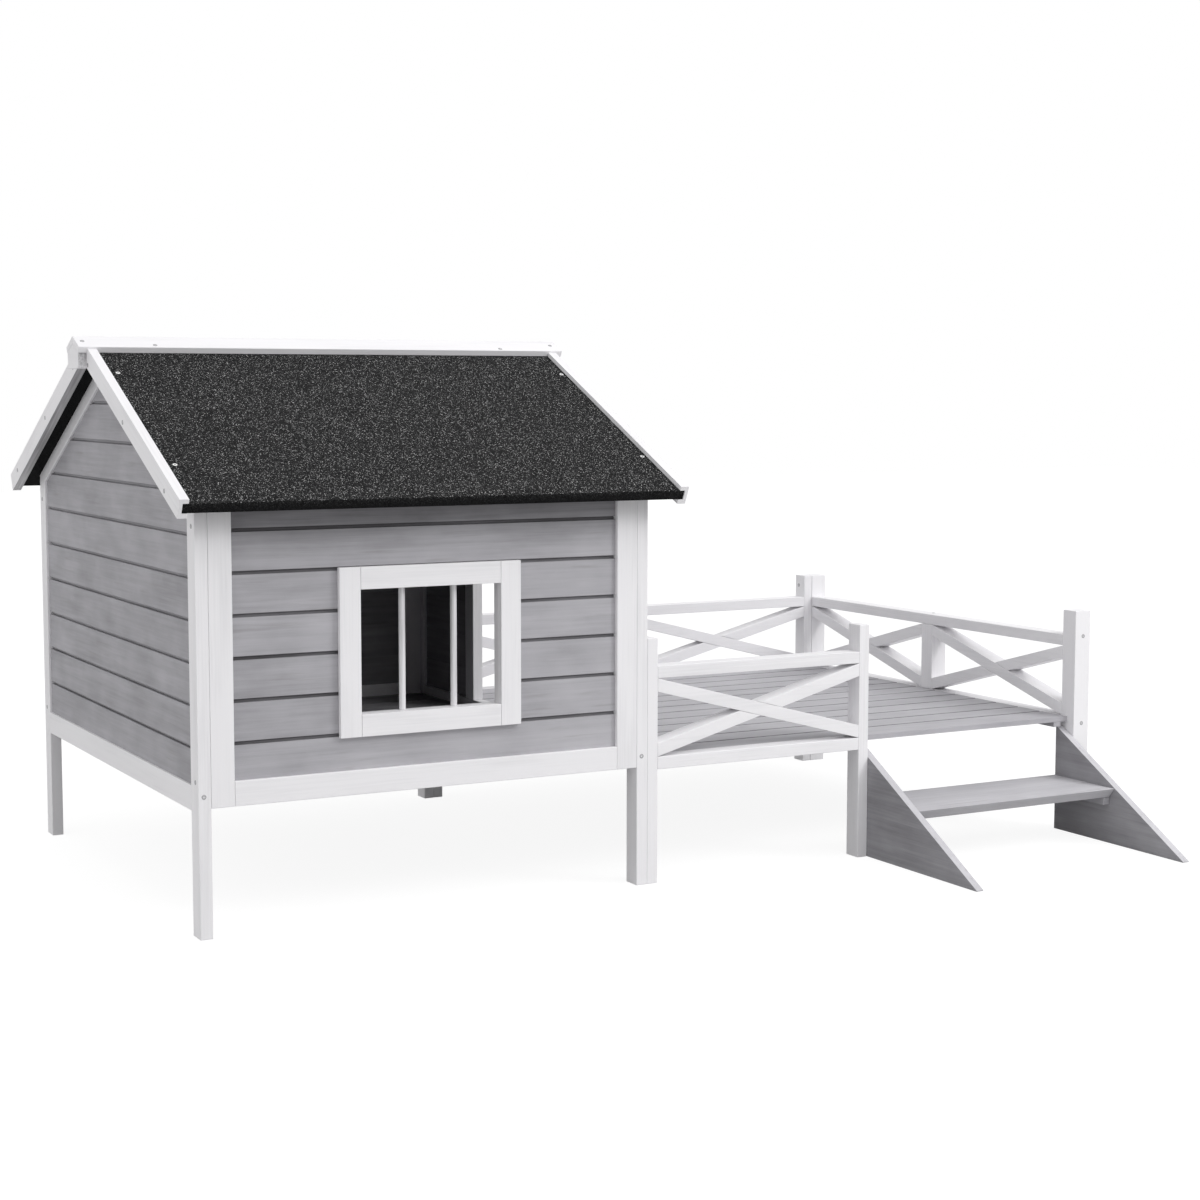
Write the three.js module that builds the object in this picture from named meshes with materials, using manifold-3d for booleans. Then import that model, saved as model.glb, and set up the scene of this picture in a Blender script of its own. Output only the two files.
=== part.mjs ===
// A raised wooden dog house: a boarded cabin on legs under a felted gable roof, with a barred
// window, a doorway in the right gable, and a railed porch reached by one step.
// Lengths are in millimetres. X runs along the front, Y from front to back and Z up.
import * as THREE from "three";
import { mergeVertices } from "three/addons/utils/BufferGeometryUtils.js";
import Module from "manifold-3d";

// ---- Driving dimensions --------------------------------------------------------------------

// Clearance wherever two separate pieces meet
const FIT = 0.3;

// Cabin frame
const CABIN_LENGTH = 850; // over the legs
const CABIN_DEPTH = 983.5; // over the legs
const EAVE_HEIGHT = 733; // ground to the roof's underside, above a leg's outer face
const LEG_THICKNESS = 22; // along X
const LEG_DEPTH = 38; // along Y
const FRAME_THICKNESS = 22; // stiles, rails, rake boards and doorway frame
const STILE_WIDTH = 41;
const FRONT_RAIL_BOTTOM = 218.5;
const FRONT_RAIL_HEIGHT = 42;
const SIDE_RAIL_BOTTOM = 211;
const SIDE_RAIL_HEIGHT = 42.5;
const RAKE_BOARD_WIDTH = 27;

// Grooved boards of the walls, the floor and the deck
const BOARD_THICKNESS = 10;
const BOARD_PITCH = 70.7;
const FIRST_BOARD_WIDTH = 61.5; // the cabin's trimmed board beside a rail
const GROOVE_WIDTH = 7;
const GROOVE_FLOOR_WIDTH = 4;
const GROOVE_DEPTH = 3;
const BACK_JOINT_WIDTH = 3;
const BACK_JOINT_DEPTH = 1.5;
const FRONT_BOARD_SETBACK = 8; // behind the legs' front faces
const SIDE_BOARD_SETBACK = 4.5; // behind the legs' side faces
const FLOOR_DROP = 25; // front rail's top down to the floor's surface

// Window in the front wall
const WINDOW_CENTRE_X = 421;
const WINDOW_BOTTOM = 317.5;
const WINDOW_WIDTH = 341;
const WINDOW_HEIGHT = 290;
const WINDOW_MEMBER_WIDTH = 38.5;
const WINDOW_BOARD_THICKNESS = 10;
const WINDOW_LINING_THICKNESS = 9;
const WINDOW_LINING_PROJECTION = 9; // past the boards' back face
const WINDOW_BAR_DIAMETER = 11.5;
const WINDOW_BAR_PITCH = 97.5;

// Doorway in the right gable, centred under the ridge
const DOORWAY_WIDTH = 400;
const DOORWAY_HEIGHT = 427; // above the side rail
const DOORWAY_MEMBER_WIDTH = 38.5;

// Roof
const ROOF_PITCH = 25.5; // degrees
const ROOF_THICKNESS = 18; // board wrapped in felt
const FELT_THICKNESS = 1.8;
const EAVE_OVERHANG = 58; // past the legs' front and back faces
const GABLE_OVERHANG_LEFT = 43.5; // past the legs' side faces
const GABLE_OVERHANG_RIGHT = 49;
const BARGE_WIDTH = 16.5; // along X
const BARGE_WEB_THICKNESS = 6.5;
const BARGE_FLANGE_THICKNESS = 8.2;
const BARGE_OVERRUN = 1.5; // past the felt's edge, down the slope
const CAP_THICKNESS = 12;
const CAP_REACH = 40.5; // down each slope from the ridge
const APEX_BLOCK_THICKNESS_LEFT = 16.5;
const APEX_BLOCK_THICKNESS_RIGHT = 13.3;
const APEX_BLOCK_HALF_WIDTH = 34;
const APEX_BLOCK_TAPER = 1; // on each side, from top to bottom

// Porch
const PORCH_LENGTH = 1049; // from the cabin to the end panel's outer face
const STEP_BAY_WIDTH = 516.5; // clear width between the posts at the steps
const POST_HEIGHT = 454;
const PANEL_POST_THICKNESS = 22; // along X
const PANEL_DEPTH = 37; // along Y
const END_POST_WIDTH = 38.5; // along X
const END_POST_DEPTH = 38; // along Y
const RAIL_TOP = 402.5;
const TOP_RAIL_HEIGHT = 22.5;
const BOTTOM_RAIL_HEIGHT = 23.5;
const BRACE_WIDTH = 23.7;
const DECK_TOP = 235;
const FIRST_DECK_BOARD_WIDTH = 64.2; // the trimmed board beside the front panel
const DECK_EDGE_SETBACK = 20; // of the deck's front edge in the step bay
const BEARER_WIDTH = 18.5;
const BEARER_HEIGHT = 10;

// Steps
const STRINGER_THICKNESS = 16.5;
const STRINGER_RUN = 370.5;
const STRINGER_BACK = 35; // its back edge, behind the porch's front face
const STRINGER_DROP = 9.5; // deck's underside down to its top corner
const STRINGER_TOE = 2; // height of the blunted tip
const TREAD_TOP = 112.5;
const TREAD_THICKNESS = 19;
const TREAD_SLANT = 15; // how far the front face leans back
const CLEAT_SIZE = 15;

// ---- Derived levels and positions ----------------------------------------------------------

const pitch = THREE.MathUtils.degToRad(ROOF_PITCH);
const ridgeY = CABIN_DEPTH / 2;
const feltRidgeHeight =
  EAVE_HEIGHT + ridgeY * Math.tan(pitch) + ROOF_THICKNESS / Math.cos(pitch);
const roofUnderside = ROOF_THICKNESS + FIT;
const rakeBoardUnderside = roofUnderside + RAKE_BOARD_WIDTH;
const feltEave = (ridgeY + EAVE_OVERHANG) / Math.cos(pitch);
const bargeEnd = feltEave + BARGE_OVERRUN;
const bargeUnderside = roofUnderside + BARGE_FLANGE_THICKNESS;

const frontRailTop = FRONT_RAIL_BOTTOM + FRONT_RAIL_HEIGHT;
const sideRailTop = SIDE_RAIL_BOTTOM + SIDE_RAIL_HEIGHT;
const floorTop = frontRailTop - FLOOR_DROP;

const porchEnd = CABIN_LENGTH + PORCH_LENGTH;
const endPanelX = porchEnd - END_POST_WIDTH;
const middlePostX = endPanelX - STEP_BAY_WIDTH - PANEL_POST_THICKNESS;
const backPanelY = CABIN_DEPTH - PANEL_DEPTH;
const endPanelY = CABIN_DEPTH - END_POST_DEPTH;
const deckUnderside = DECK_TOP - BOARD_THICKNESS;
const stringerTop = deckUnderside - STRINGER_DROP;
const stringerTip = STRINGER_BACK - STRINGER_RUN;

// ---- Finishes ------------------------------------------------------------------------------

const whitePaint = new THREE.MeshStandardMaterial({
  color: 0xf0eff1,
  roughness: 0.55,
  metalness: 0,
});
const greyStain = new THREE.MeshStandardMaterial({
  color: 0xaaa9ad,
  roughness: 0.65,
  metalness: 0,
});
const roofFelt = new THREE.MeshStandardMaterial({
  color: 0x3c3c3e,
  roughness: 0.95,
  metalness: 0,
});

// ---- Solids --------------------------------------------------------------------------------

const wasm = await Module();
wasm.setup();

// Turns an outline drawn in Y and Z, extruded along the local Z, to run along X.
const ALONG_X = new THREE.Matrix4().set(0, 0, 1, 0, 1, 0, 0, 0, 0, 1, 0, 0, 0, 0, 0, 1);
// Turns an outline drawn in X and Z, extruded along the local Z, to run towards -Y.
const ALONG_Y = new THREE.Matrix4().set(1, 0, 0, 0, 0, 0, -1, 0, 0, 1, 0, 0, 0, 0, 0, 1);

function shapeOf(outline, hole) {
  const shape = new THREE.Shape(outline.map(([u, v]) => new THREE.Vector2(u, v)));
  if (hole) {
    shape.holes.push(new THREE.Path(hole.map(([u, v]) => new THREE.Vector2(u, v))));
  }
  return shape;
}

function extrude(outline, length, hole) {
  return new THREE.ExtrudeGeometry(shapeOf(outline, hole), { depth: length, bevelEnabled: false });
}

// A prism with a [y, z] outline between two X positions
function prismAlongX(outline, [start, end]) {
  return extrude(outline, end - start).applyMatrix4(ALONG_X).translate(start, 0, 0);
}

// A prism with an [x, z] outline between two Y positions
function prismAlongY(outline, [start, end], hole) {
  return extrude(outline, end - start, hole).applyMatrix4(ALONG_Y).translate(0, end, 0);
}

function block(x, y, z) {
  const size = [x, y, z].map(([low, high]) => high - low);
  const centre = [x, y, z].map(([low, high]) => (low + high) / 2);
  return new THREE.BoxGeometry(...size).translate(...centre);
}

function rectangle([left, right], [bottom, top]) {
  return [[left, bottom], [right, bottom], [right, top], [left, top]];
}

function solidOf(geometry) {
  const bare = geometry.clone();
  bare.deleteAttribute("normal");
  bare.deleteAttribute("uv");
  const merged = mergeVertices(bare);
  const mesh = new wasm.Mesh({
    numProp: 3,
    vertProperties: new Float32Array(merged.attributes.position.array),
    triVerts: new Uint32Array(merged.index.array),
  });
  return new wasm.Manifold(mesh);
}

function geometryOf(solid) {
  const mesh = solid.getMesh();
  const geometry = new THREE.BufferGeometry();
  geometry.setAttribute("position", new THREE.BufferAttribute(mesh.vertProperties, 3));
  geometry.setIndex(new THREE.BufferAttribute(mesh.triVerts, 1));
  geometry.computeVertexNormals();
  return geometry;
}

function union(...geometries) {
  return geometryOf(geometries.map(solidOf).reduce((sum, solid) => sum.add(solid)));
}

function subtract(geometry, cutter) {
  return geometryOf(solidOf(geometry).subtract(solidOf(cutter)));
}

function intersect(first, second) {
  return geometryOf(solidOf(first).intersect(solidOf(second)));
}

// ---- Assembly ------------------------------------------------------------------------------

const assembly = new THREE.Group();

function add(name, finish, geometry) {
  const mesh = new THREE.Mesh(geometry, finish.clone());
  mesh.name = name;
  assembly.add(mesh);
}

// The room that a piece has between two neighbours
function between(low, high) {
  return [low + FIT, high - FIT];
}

function mirrorY(outline) {
  return outline.map(([y, z]) => [CABIN_DEPTH - y, z]);
}

function mirrorX([start, end]) {
  return [CABIN_LENGTH - end, CABIN_LENGTH - start];
}

// ---- Roof lines ----------------------------------------------------------------------------

// Height of a roof layer at Y. Its depth is measured square to the slope, from the felt's top.
function layerHeight(y, depth) {
  return feltRidgeHeight - depth / Math.cos(pitch) - Math.abs(y - ridgeY) * Math.tan(pitch);
}

// The [y, z] point of the front slope at a distance down from the ridge and a layer's depth
function slopePoint(down, depth) {
  return [
    ridgeY - down * Math.cos(pitch) + depth * Math.sin(pitch),
    feltRidgeHeight - down * Math.sin(pitch) - depth * Math.cos(pitch),
  ];
}

// Where a layer of the front slope ends at the upright joint under the ridge
function ridgePoint(depth) {
  const y = ridgeY - FIT / 2;
  return [y, layerHeight(y, depth)];
}

function slopeOutline(end, top, bottom) {
  return [ridgePoint(top), slopePoint(end, top), slopePoint(end, bottom), ridgePoint(bottom)];
}

// An upright member between two Y positions, cut to the slope under the roof
function underRoof([start, end], bottom) {
  return [
    [start, bottom],
    [end, bottom],
    [end, layerHeight(end, roofUnderside)],
    [start, layerHeight(start, roofUnderside)],
  ];
}

// ---- Grooved boards ------------------------------------------------------------------------

// Section across a run of boards, as [depth, along] points: grooves in the face and fine joints
// in the back. The run starts at one level and may end at a different one on each side.
function boardedOutline(face, back, firstWidth, start, endAtFace, endAtBack = endAtFace) {
  const inward = Math.sign(back - face);
  const lastSeam = Math.min(endAtFace, endAtBack) - GROOVE_WIDTH;
  const seams = [];
  for (let seam = start + firstWidth; seam < lastSeam; seam += BOARD_PITCH) {
    seams.push(seam);
  }
  const outline = [[face, start]];
  for (const seam of seams) {
    outline.push([face, seam - GROOVE_WIDTH / 2]);
    outline.push([face + inward * GROOVE_DEPTH, seam - GROOVE_FLOOR_WIDTH / 2]);
    outline.push([face + inward * GROOVE_DEPTH, seam + GROOVE_FLOOR_WIDTH / 2]);
    outline.push([face, seam + GROOVE_WIDTH / 2]);
  }
  outline.push([face, endAtFace], [back, endAtBack]);
  for (const seam of seams.reverse()) {
    outline.push([back, seam + BACK_JOINT_WIDTH / 2]);
    outline.push([back - inward * BACK_JOINT_DEPTH, seam]);
    outline.push([back, seam - BACK_JOINT_WIDTH / 2]);
  }
  outline.push([back, start]);
  return outline;
}

// The same section for boards that lie flat, as [y, z] points
function flatBoardsOutline(top, firstWidth, [front, back]) {
  const outline = boardedOutline(top, top - BOARD_THICKNESS, firstWidth, front, back);
  return outline.map(([z, y]) => [y, z]);
}

// ---- Cabin frame ---------------------------------------------------------------------------

const leftLegX = [0, LEG_THICKNESS];
const frontLegY = [0, LEG_DEPTH];
const backLegY = [CABIN_DEPTH - LEG_DEPTH, CABIN_DEPTH];

function addLegs() {
  for (const [side, x] of [["left", leftLegX], ["right", mirrorX(leftLegX)]]) {
    add(`leg_front_${side}`, whitePaint, prismAlongX(underRoof(frontLegY, 0), x));
    add(`leg_back_${side}`, whitePaint, prismAlongX(underRoof(backLegY, 0), x));
  }
}

const stileX = [LEG_THICKNESS + FIT, LEG_THICKNESS + STILE_WIDTH];
const betweenStiles = between(stileX[1], CABIN_LENGTH - stileX[1]);

function addFrontFrame() {
  const y = [0, FRAME_THICKNESS];
  const stile = underRoof(y, FRONT_RAIL_BOTTOM);
  add("front_stile_left", whitePaint, prismAlongX(stile, stileX));
  add("front_stile_right", whitePaint, prismAlongX(stile, mirrorX(stileX)));
  const rail = block(betweenStiles, y, [FRONT_RAIL_BOTTOM, frontRailTop]);
  add("front_bottom_rail", whitePaint, rail);
}

// The back wall's stiles and rail, as one frame
function addBackFrame() {
  const rightStileX = mirrorX(stileX);
  const top = layerHeight(CABIN_DEPTH, roofUnderside);
  const outline = [
    [stileX[0], FRONT_RAIL_BOTTOM],
    [rightStileX[1], FRONT_RAIL_BOTTOM],
    [rightStileX[1], top],
    [rightStileX[0], top],
    [rightStileX[0], frontRailTop],
    [stileX[1], frontRailTop],
    [stileX[1], top],
    [stileX[0], top],
  ];
  const y = [CABIN_DEPTH - FRAME_THICKNESS, CABIN_DEPTH];
  add("back_wall_frame", whitePaint, prismAlongY(outline, y));
}

const betweenLegs = between(LEG_DEPTH, CABIN_DEPTH - LEG_DEPTH);
const leftFrameX = [0, FRAME_THICKNESS];

function addSideFrame(side, x) {
  const rail = block(x, betweenLegs, [SIDE_RAIL_BOTTOM, sideRailTop]);
  add(`${side}_bottom_rail`, whitePaint, rail);
  const [front, back] = betweenLegs;
  const rakeBoard = [
    [front, layerHeight(front, rakeBoardUnderside)],
    [ridgeY, layerHeight(ridgeY, rakeBoardUnderside)],
    [back, layerHeight(back, rakeBoardUnderside)],
    [back, layerHeight(back, roofUnderside)],
    [ridgeY, layerHeight(ridgeY, roofUnderside)],
    [front, layerHeight(front, roofUnderside)],
  ];
  add(`${side}_rake_board`, whitePaint, prismAlongX(rakeBoard, x));
}

// ---- Boarding ------------------------------------------------------------------------------

const doorwayY = [ridgeY - DOORWAY_WIDTH / 2, ridgeY + DOORWAY_WIDTH / 2];
const doorwayTop = sideRailTop + DOORWAY_HEIGHT;
const doorwayOuterY = [doorwayY[0] - DOORWAY_MEMBER_WIDTH, doorwayY[1] + DOORWAY_MEMBER_WIDTH];
const doorwayOuterTop = doorwayTop + DOORWAY_MEMBER_WIDTH;

const windowX = [WINDOW_CENTRE_X - WINDOW_WIDTH / 2, WINDOW_CENTRE_X + WINDOW_WIDTH / 2];
const windowZ = [WINDOW_BOTTOM, WINDOW_BOTTOM + WINDOW_HEIGHT];

// Shrinks a range by the same amount at both ends, or widens it by a negative one.
function inset([low, high], amount) {
  return [low + amount, high - amount];
}

const openingX = inset(windowX, WINDOW_MEMBER_WIDTH);
const openingZ = inset(windowZ, WINDOW_MEMBER_WIDTH);

function wallBoards(face, back) {
  const endAtFace = layerHeight(face, roofUnderside);
  const endAtBack = layerHeight(back, roofUnderside);
  const bottom = frontRailTop + FIT;
  const section = boardedOutline(face, back, FIRST_BOARD_WIDTH, bottom, endAtFace, endAtBack);
  return prismAlongX(section, betweenStiles);
}

function addFrontBoarding() {
  const face = FRONT_BOARD_SETBACK;
  const back = face + BOARD_THICKNESS;
  const margin = WINDOW_LINING_THICKNESS + FIT;
  const hole = block(
    inset(openingX, -margin),
    [face - BOARD_THICKNESS, back + BOARD_THICKNESS],
    inset(openingZ, -margin),
  );
  add("front_boarding", greyStain, subtract(wallBoards(face, back), hole));
}

function addBackBoarding() {
  const face = CABIN_DEPTH - FRONT_BOARD_SETBACK;
  add("back_boarding", greyStain, wallBoards(face, face - BOARD_THICKNESS));
}

function gableBoards(face, back) {
  const bottom = sideRailTop + FIT;
  const top = layerHeight(ridgeY, 0);
  const section = boardedOutline(face, back, FIRST_BOARD_WIDTH, bottom, top);
  const boards = prismAlongY(section, [0, CABIN_DEPTH]);
  const under = rakeBoardUnderside + FIT;
  const [front, rear] = betweenLegs;
  const gable = [
    [front, 0],
    [rear, 0],
    [rear, layerHeight(rear, under)],
    [ridgeY, layerHeight(ridgeY, under)],
    [front, layerHeight(front, under)],
  ];
  const x = inset([Math.min(face, back), Math.max(face, back)], -BOARD_THICKNESS);
  return intersect(boards, prismAlongX(gable, x));
}

function addGableBoarding() {
  const face = SIDE_BOARD_SETBACK;
  const back = face + BOARD_THICKNESS;
  add("left_boarding", greyStain, gableBoards(face, back));
  const rightFace = CABIN_LENGTH - face;
  const rightBack = CABIN_LENGTH - back;
  const doorHole = block(
    [rightBack - BOARD_THICKNESS, rightFace + BOARD_THICKNESS],
    inset(doorwayOuterY, -FIT),
    [0, doorwayOuterTop + FIT],
  );
  add("right_boarding", greyStain, subtract(gableBoards(rightFace, rightBack), doorHole));
}

function addDoorwayFrame() {
  const foot = sideRailTop + FIT;
  const outline = [
    [doorwayOuterY[0], foot],
    [doorwayY[0], foot],
    [doorwayY[0], doorwayTop],
    [doorwayY[1], doorwayTop],
    [doorwayY[1], foot],
    [doorwayOuterY[1], foot],
    [doorwayOuterY[1], doorwayOuterTop],
    [doorwayOuterY[0], doorwayOuterTop],
  ];
  add("doorway_frame", whitePaint, prismAlongX(outline, mirrorX(leftFrameX)));
}

function addFloor() {
  const y = between(FRAME_THICKNESS, CABIN_DEPTH - FRAME_THICKNESS);
  const x = between(FRAME_THICKNESS, CABIN_LENGTH - FRAME_THICKNESS);
  const section = flatBoardsOutline(floorTop, FIRST_BOARD_WIDTH, y);
  add("cabin_floor", greyStain, prismAlongX(section, x));
}

// ---- Window --------------------------------------------------------------------------------

function addWindow() {
  const boardBack = FRONT_BOARD_SETBACK - FIT;
  const boardFront = boardBack - WINDOW_BOARD_THICKNESS;
  const liningBack = FRONT_BOARD_SETBACK + BOARD_THICKNESS + WINDOW_LINING_PROJECTION;
  const opening = rectangle(openingX, openingZ);
  const face = prismAlongY(rectangle(windowX, windowZ), [boardFront, boardBack], opening);
  const liningOutline = rectangle(
    inset(openingX, -WINDOW_LINING_THICKNESS),
    inset(openingZ, -WINDOW_LINING_THICKNESS),
  );
  const lining = prismAlongY(liningOutline, [boardFront, liningBack], opening);
  add("window_frame", whitePaint, union(face, lining));

  const [bottom, top] = between(...openingZ);
  const radius = WINDOW_BAR_DIAMETER / 2;
  const barY = FRONT_BOARD_SETBACK + (BOARD_THICKNESS + WINDOW_LINING_PROJECTION) / 2;
  for (const [side, direction] of [["left", -1], ["right", 1]]) {
    const x = WINDOW_CENTRE_X + (direction * WINDOW_BAR_PITCH) / 2;
    const bar = new THREE.CylinderGeometry(radius, radius, top - bottom, 24);
    bar.rotateX(Math.PI / 2).translate(x, barY, (bottom + top) / 2);
    add(`window_bar_${side}`, whitePaint, bar);
  }
}

// ---- Roof ----------------------------------------------------------------------------------

const bargeFaceX = [-GABLE_OVERHANG_LEFT, CABIN_LENGTH + GABLE_OVERHANG_RIGHT];
const roofX = inset(bargeFaceX, BARGE_WEB_THICKNESS + FIT);
const ridgeX = [
  bargeFaceX[0] - APEX_BLOCK_THICKNESS_LEFT,
  bargeFaceX[1] + APEX_BLOCK_THICKNESS_RIGHT,
];

function addRoofPanels() {
  const cover = FELT_THICKNESS + FIT;
  const panel = slopeOutline(feltEave - cover, cover, ROOF_THICKNESS - cover);
  const lowerFelt = ROOF_THICKNESS - FELT_THICKNESS;
  const innerEave = feltEave - FELT_THICKNESS;
  const felt = [
    ...slopeOutline(feltEave, 0, ROOF_THICKNESS),
    ...slopeOutline(innerEave, FELT_THICKNESS, lowerFelt).reverse(),
  ];
  add("roof_board_front", greyStain, prismAlongX(panel, roofX));
  add("roof_board_back", greyStain, prismAlongX(mirrorY(panel), roofX));
  add("roof_felt_front", roofFelt, prismAlongX(felt, roofX));
  add("roof_felt_back", roofFelt, prismAlongX(mirrorY(felt), roofX));
}

// A channel that clasps the panel's gable edge, open towards the panel
function bargeBoard(turn, webX, x) {
  const upperEnd = CAP_REACH + FIT;
  const web = [
    slopePoint(bargeEnd, -BARGE_FLANGE_THICKNESS),
    slopePoint(upperEnd, -BARGE_FLANGE_THICKNESS),
    slopePoint(upperEnd, 0),
    ridgePoint(0),
    ridgePoint(bargeUnderside),
    slopePoint(bargeEnd, bargeUnderside),
  ];
  const topFlange = [
    slopePoint(bargeEnd, -BARGE_FLANGE_THICKNESS),
    slopePoint(upperEnd, -BARGE_FLANGE_THICKNESS),
    slopePoint(upperEnd, -FIT),
    slopePoint(bargeEnd, -FIT),
  ];
  const bottomFlange = slopeOutline(bargeEnd, roofUnderside, bargeUnderside);
  return union(
    prismAlongX(turn(web), webX),
    prismAlongX(turn(topFlange), x),
    prismAlongX(turn(bottomFlange), x),
  );
}

function addBargeBoards() {
  const [left, right] = bargeFaceX;
  const ends = [
    ["left", [left, left + BARGE_WEB_THICKNESS], [left, left + BARGE_WIDTH]],
    ["right", [right - BARGE_WEB_THICKNESS, right], [right - BARGE_WIDTH, right]],
  ];
  for (const [side, webX, x] of ends) {
    const front = bargeBoard((outline) => outline, webX, x);
    add(`barge_board_front_${side}`, whitePaint, front);
    add(`barge_board_back_${side}`, whitePaint, bargeBoard(mirrorY, webX, x));
  }
}

function addRidge() {
  const capTop = -FIT - CAP_THICKNESS;
  const lowerEdge = [slopePoint(CAP_REACH, -FIT), slopePoint(CAP_REACH, capTop)];
  const cap = [
    [ridgeY, layerHeight(ridgeY, -FIT)],
    ...lowerEdge,
    [ridgeY, layerHeight(ridgeY, capTop)],
    ...mirrorY(lowerEdge).reverse(),
  ];
  add("ridge_cap", whitePaint, prismAlongX(cap, ridgeX));

  const topFront = ridgeY - APEX_BLOCK_HALF_WIDTH;
  const bottomFront = topFront + APEX_BLOCK_TAPER;
  const frontEdge = [
    [topFront, layerHeight(topFront, 0)],
    [bottomFront, layerHeight(bottomFront, bargeUnderside)],
  ];
  const apexBlock = [
    [ridgeY, layerHeight(ridgeY, 0)],
    ...frontEdge,
    ...mirrorY(frontEdge).reverse(),
  ];
  const leftBlockX = [ridgeX[0], bargeFaceX[0] - FIT];
  const rightBlockX = [bargeFaceX[1] + FIT, ridgeX[1]];
  add("apex_block_left", whitePaint, prismAlongX(apexBlock, leftBlockX));
  add("apex_block_right", whitePaint, prismAlongX(apexBlock, rightBlockX));
}

// ---- Porch posts, rails and braces ---------------------------------------------------------

const housePostX = [CABIN_LENGTH + FIT, CABIN_LENGTH + PANEL_POST_THICKNESS];
const middlePostRange = [middlePostX, middlePostX + PANEL_POST_THICKNESS];
const endPostRange = [endPanelX, porchEnd];
const backEndPostX = [endPanelX - PANEL_POST_THICKNESS, endPanelX - FIT];
const frontPanelY = [0, PANEL_DEPTH];
const backPanelRange = [backPanelY, CABIN_DEPTH];
const postZ = [0, POST_HEIGHT];
const topRailZ = [RAIL_TOP - TOP_RAIL_HEIGHT, RAIL_TOP];
const bottomRailZ = [DECK_TOP - BOTTOM_RAIL_HEIGHT, DECK_TOP];
const braceZ = between(bottomRailZ[1], topRailZ[0]);

function addPosts() {
  add("porch_post_front_house", whitePaint, block(housePostX, frontPanelY, postZ));
  add("porch_post_front_middle", whitePaint, block(middlePostRange, frontPanelY, postZ));
  add("porch_post_front_end", whitePaint, block(endPostRange, [0, END_POST_DEPTH], postZ));
  add("porch_post_back_house", whitePaint, block(housePostX, backPanelRange, postZ));
  add("porch_post_back_panel", whitePaint, block(backEndPostX, backPanelRange, postZ));
  add("porch_post_back_end", whitePaint, block(endPostRange, [endPanelY, CABIN_DEPTH], postZ));
}

// Outline of two crossed bars whose whole ends lie against a bay's posts, in its corners
function crossOutline([left, right], [bottom, top]) {
  const width = right - left;
  const height = top - bottom;
  const diagonal = Math.hypot(width, height);
  const angle = Math.atan2(height, width) - Math.asin(BRACE_WIDTH / diagonal);
  const endHeight = BRACE_WIDTH / Math.cos(angle);
  const run = BRACE_WIDTH / 2 / Math.sin(angle);
  const middle = (left + right) / 2;
  const centre = (bottom + top) / 2;
  return [
    [left, bottom],
    [middle, centre - endHeight / 2],
    [right, bottom],
    [right, bottom + endHeight],
    [middle + run, centre],
    [right, top - endHeight],
    [right, top],
    [middle, centre + endHeight / 2],
    [left, top],
    [left, top - endHeight],
    [middle - run, centre],
    [left, bottom + endHeight],
  ];
}

function addFrontPanel() {
  const x = between(housePostX[1], middlePostRange[0]);
  add("front_top_rail", whitePaint, block(x, frontPanelY, topRailZ));
  add("front_lower_rail", whitePaint, block(x, frontPanelY, bottomRailZ));
  add("front_brace", whitePaint, prismAlongY(crossOutline(x, braceZ), frontPanelY));
}

// The two bays on either side of a post in the middle of a panel
function halves(low, high, postWidth) {
  const post = [(low + high - postWidth) / 2, (low + high + postWidth) / 2];
  return { post, bays: [between(low, post[0]), between(post[1], high)] };
}

function addBackPanel() {
  const { post, bays } = halves(housePostX[1], backEndPostX[0], PANEL_POST_THICKNESS);
  const x = between(housePostX[1], backEndPostX[0]);
  add("back_top_rail", whitePaint, block(x, backPanelRange, topRailZ));
  add("back_lower_rail", whitePaint, block(x, backPanelRange, bottomRailZ));
  add("back_middle_post", whitePaint, block(post, backPanelRange, braceZ));
  for (const [index, side] of ["left", "right"].entries()) {
    const brace = prismAlongY(crossOutline(bays[index], braceZ), backPanelRange);
    add(`back_brace_${side}`, whitePaint, brace);
  }
}

function addEndPanel() {
  const { post, bays } = halves(END_POST_DEPTH, endPanelY, END_POST_DEPTH);
  const y = between(END_POST_DEPTH, endPanelY);
  add("end_top_rail", whitePaint, block(endPostRange, y, topRailZ));
  add("end_lower_rail", whitePaint, block(endPostRange, y, bottomRailZ));
  add("end_middle_post", whitePaint, block(endPostRange, post, braceZ));
  for (const [index, side] of ["front", "back"].entries()) {
    const brace = prismAlongX(crossOutline(bays[index], braceZ), endPostRange);
    add(`end_brace_${side}`, whitePaint, brace);
  }
}

// ---- Deck and steps ------------------------------------------------------------------------

const stepBayX = between(middlePostRange[1], endPanelX);
const deckZ = [deckUnderside, DECK_TOP];

function addDeck() {
  const y = between(PANEL_DEPTH, backPanelY);
  const x = between(CABIN_LENGTH, endPanelX);
  const boards = prismAlongX(flatBoardsOutline(DECK_TOP, FIRST_DECK_BOARD_WIDTH, y), x);
  const steppedEdge = [DECK_EDGE_SETBACK, y[0] + FIRST_DECK_BOARD_WIDTH / 2];
  add("deck", greyStain, union(boards, block(stepBayX, steppedEdge, deckZ)));
}

const leftStringerX = [middlePostRange[1] + FIT, middlePostRange[1] + STRINGER_THICKNESS];
const rightStringerX = [endPanelX - STRINGER_THICKNESS, endPanelX - FIT];

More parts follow.
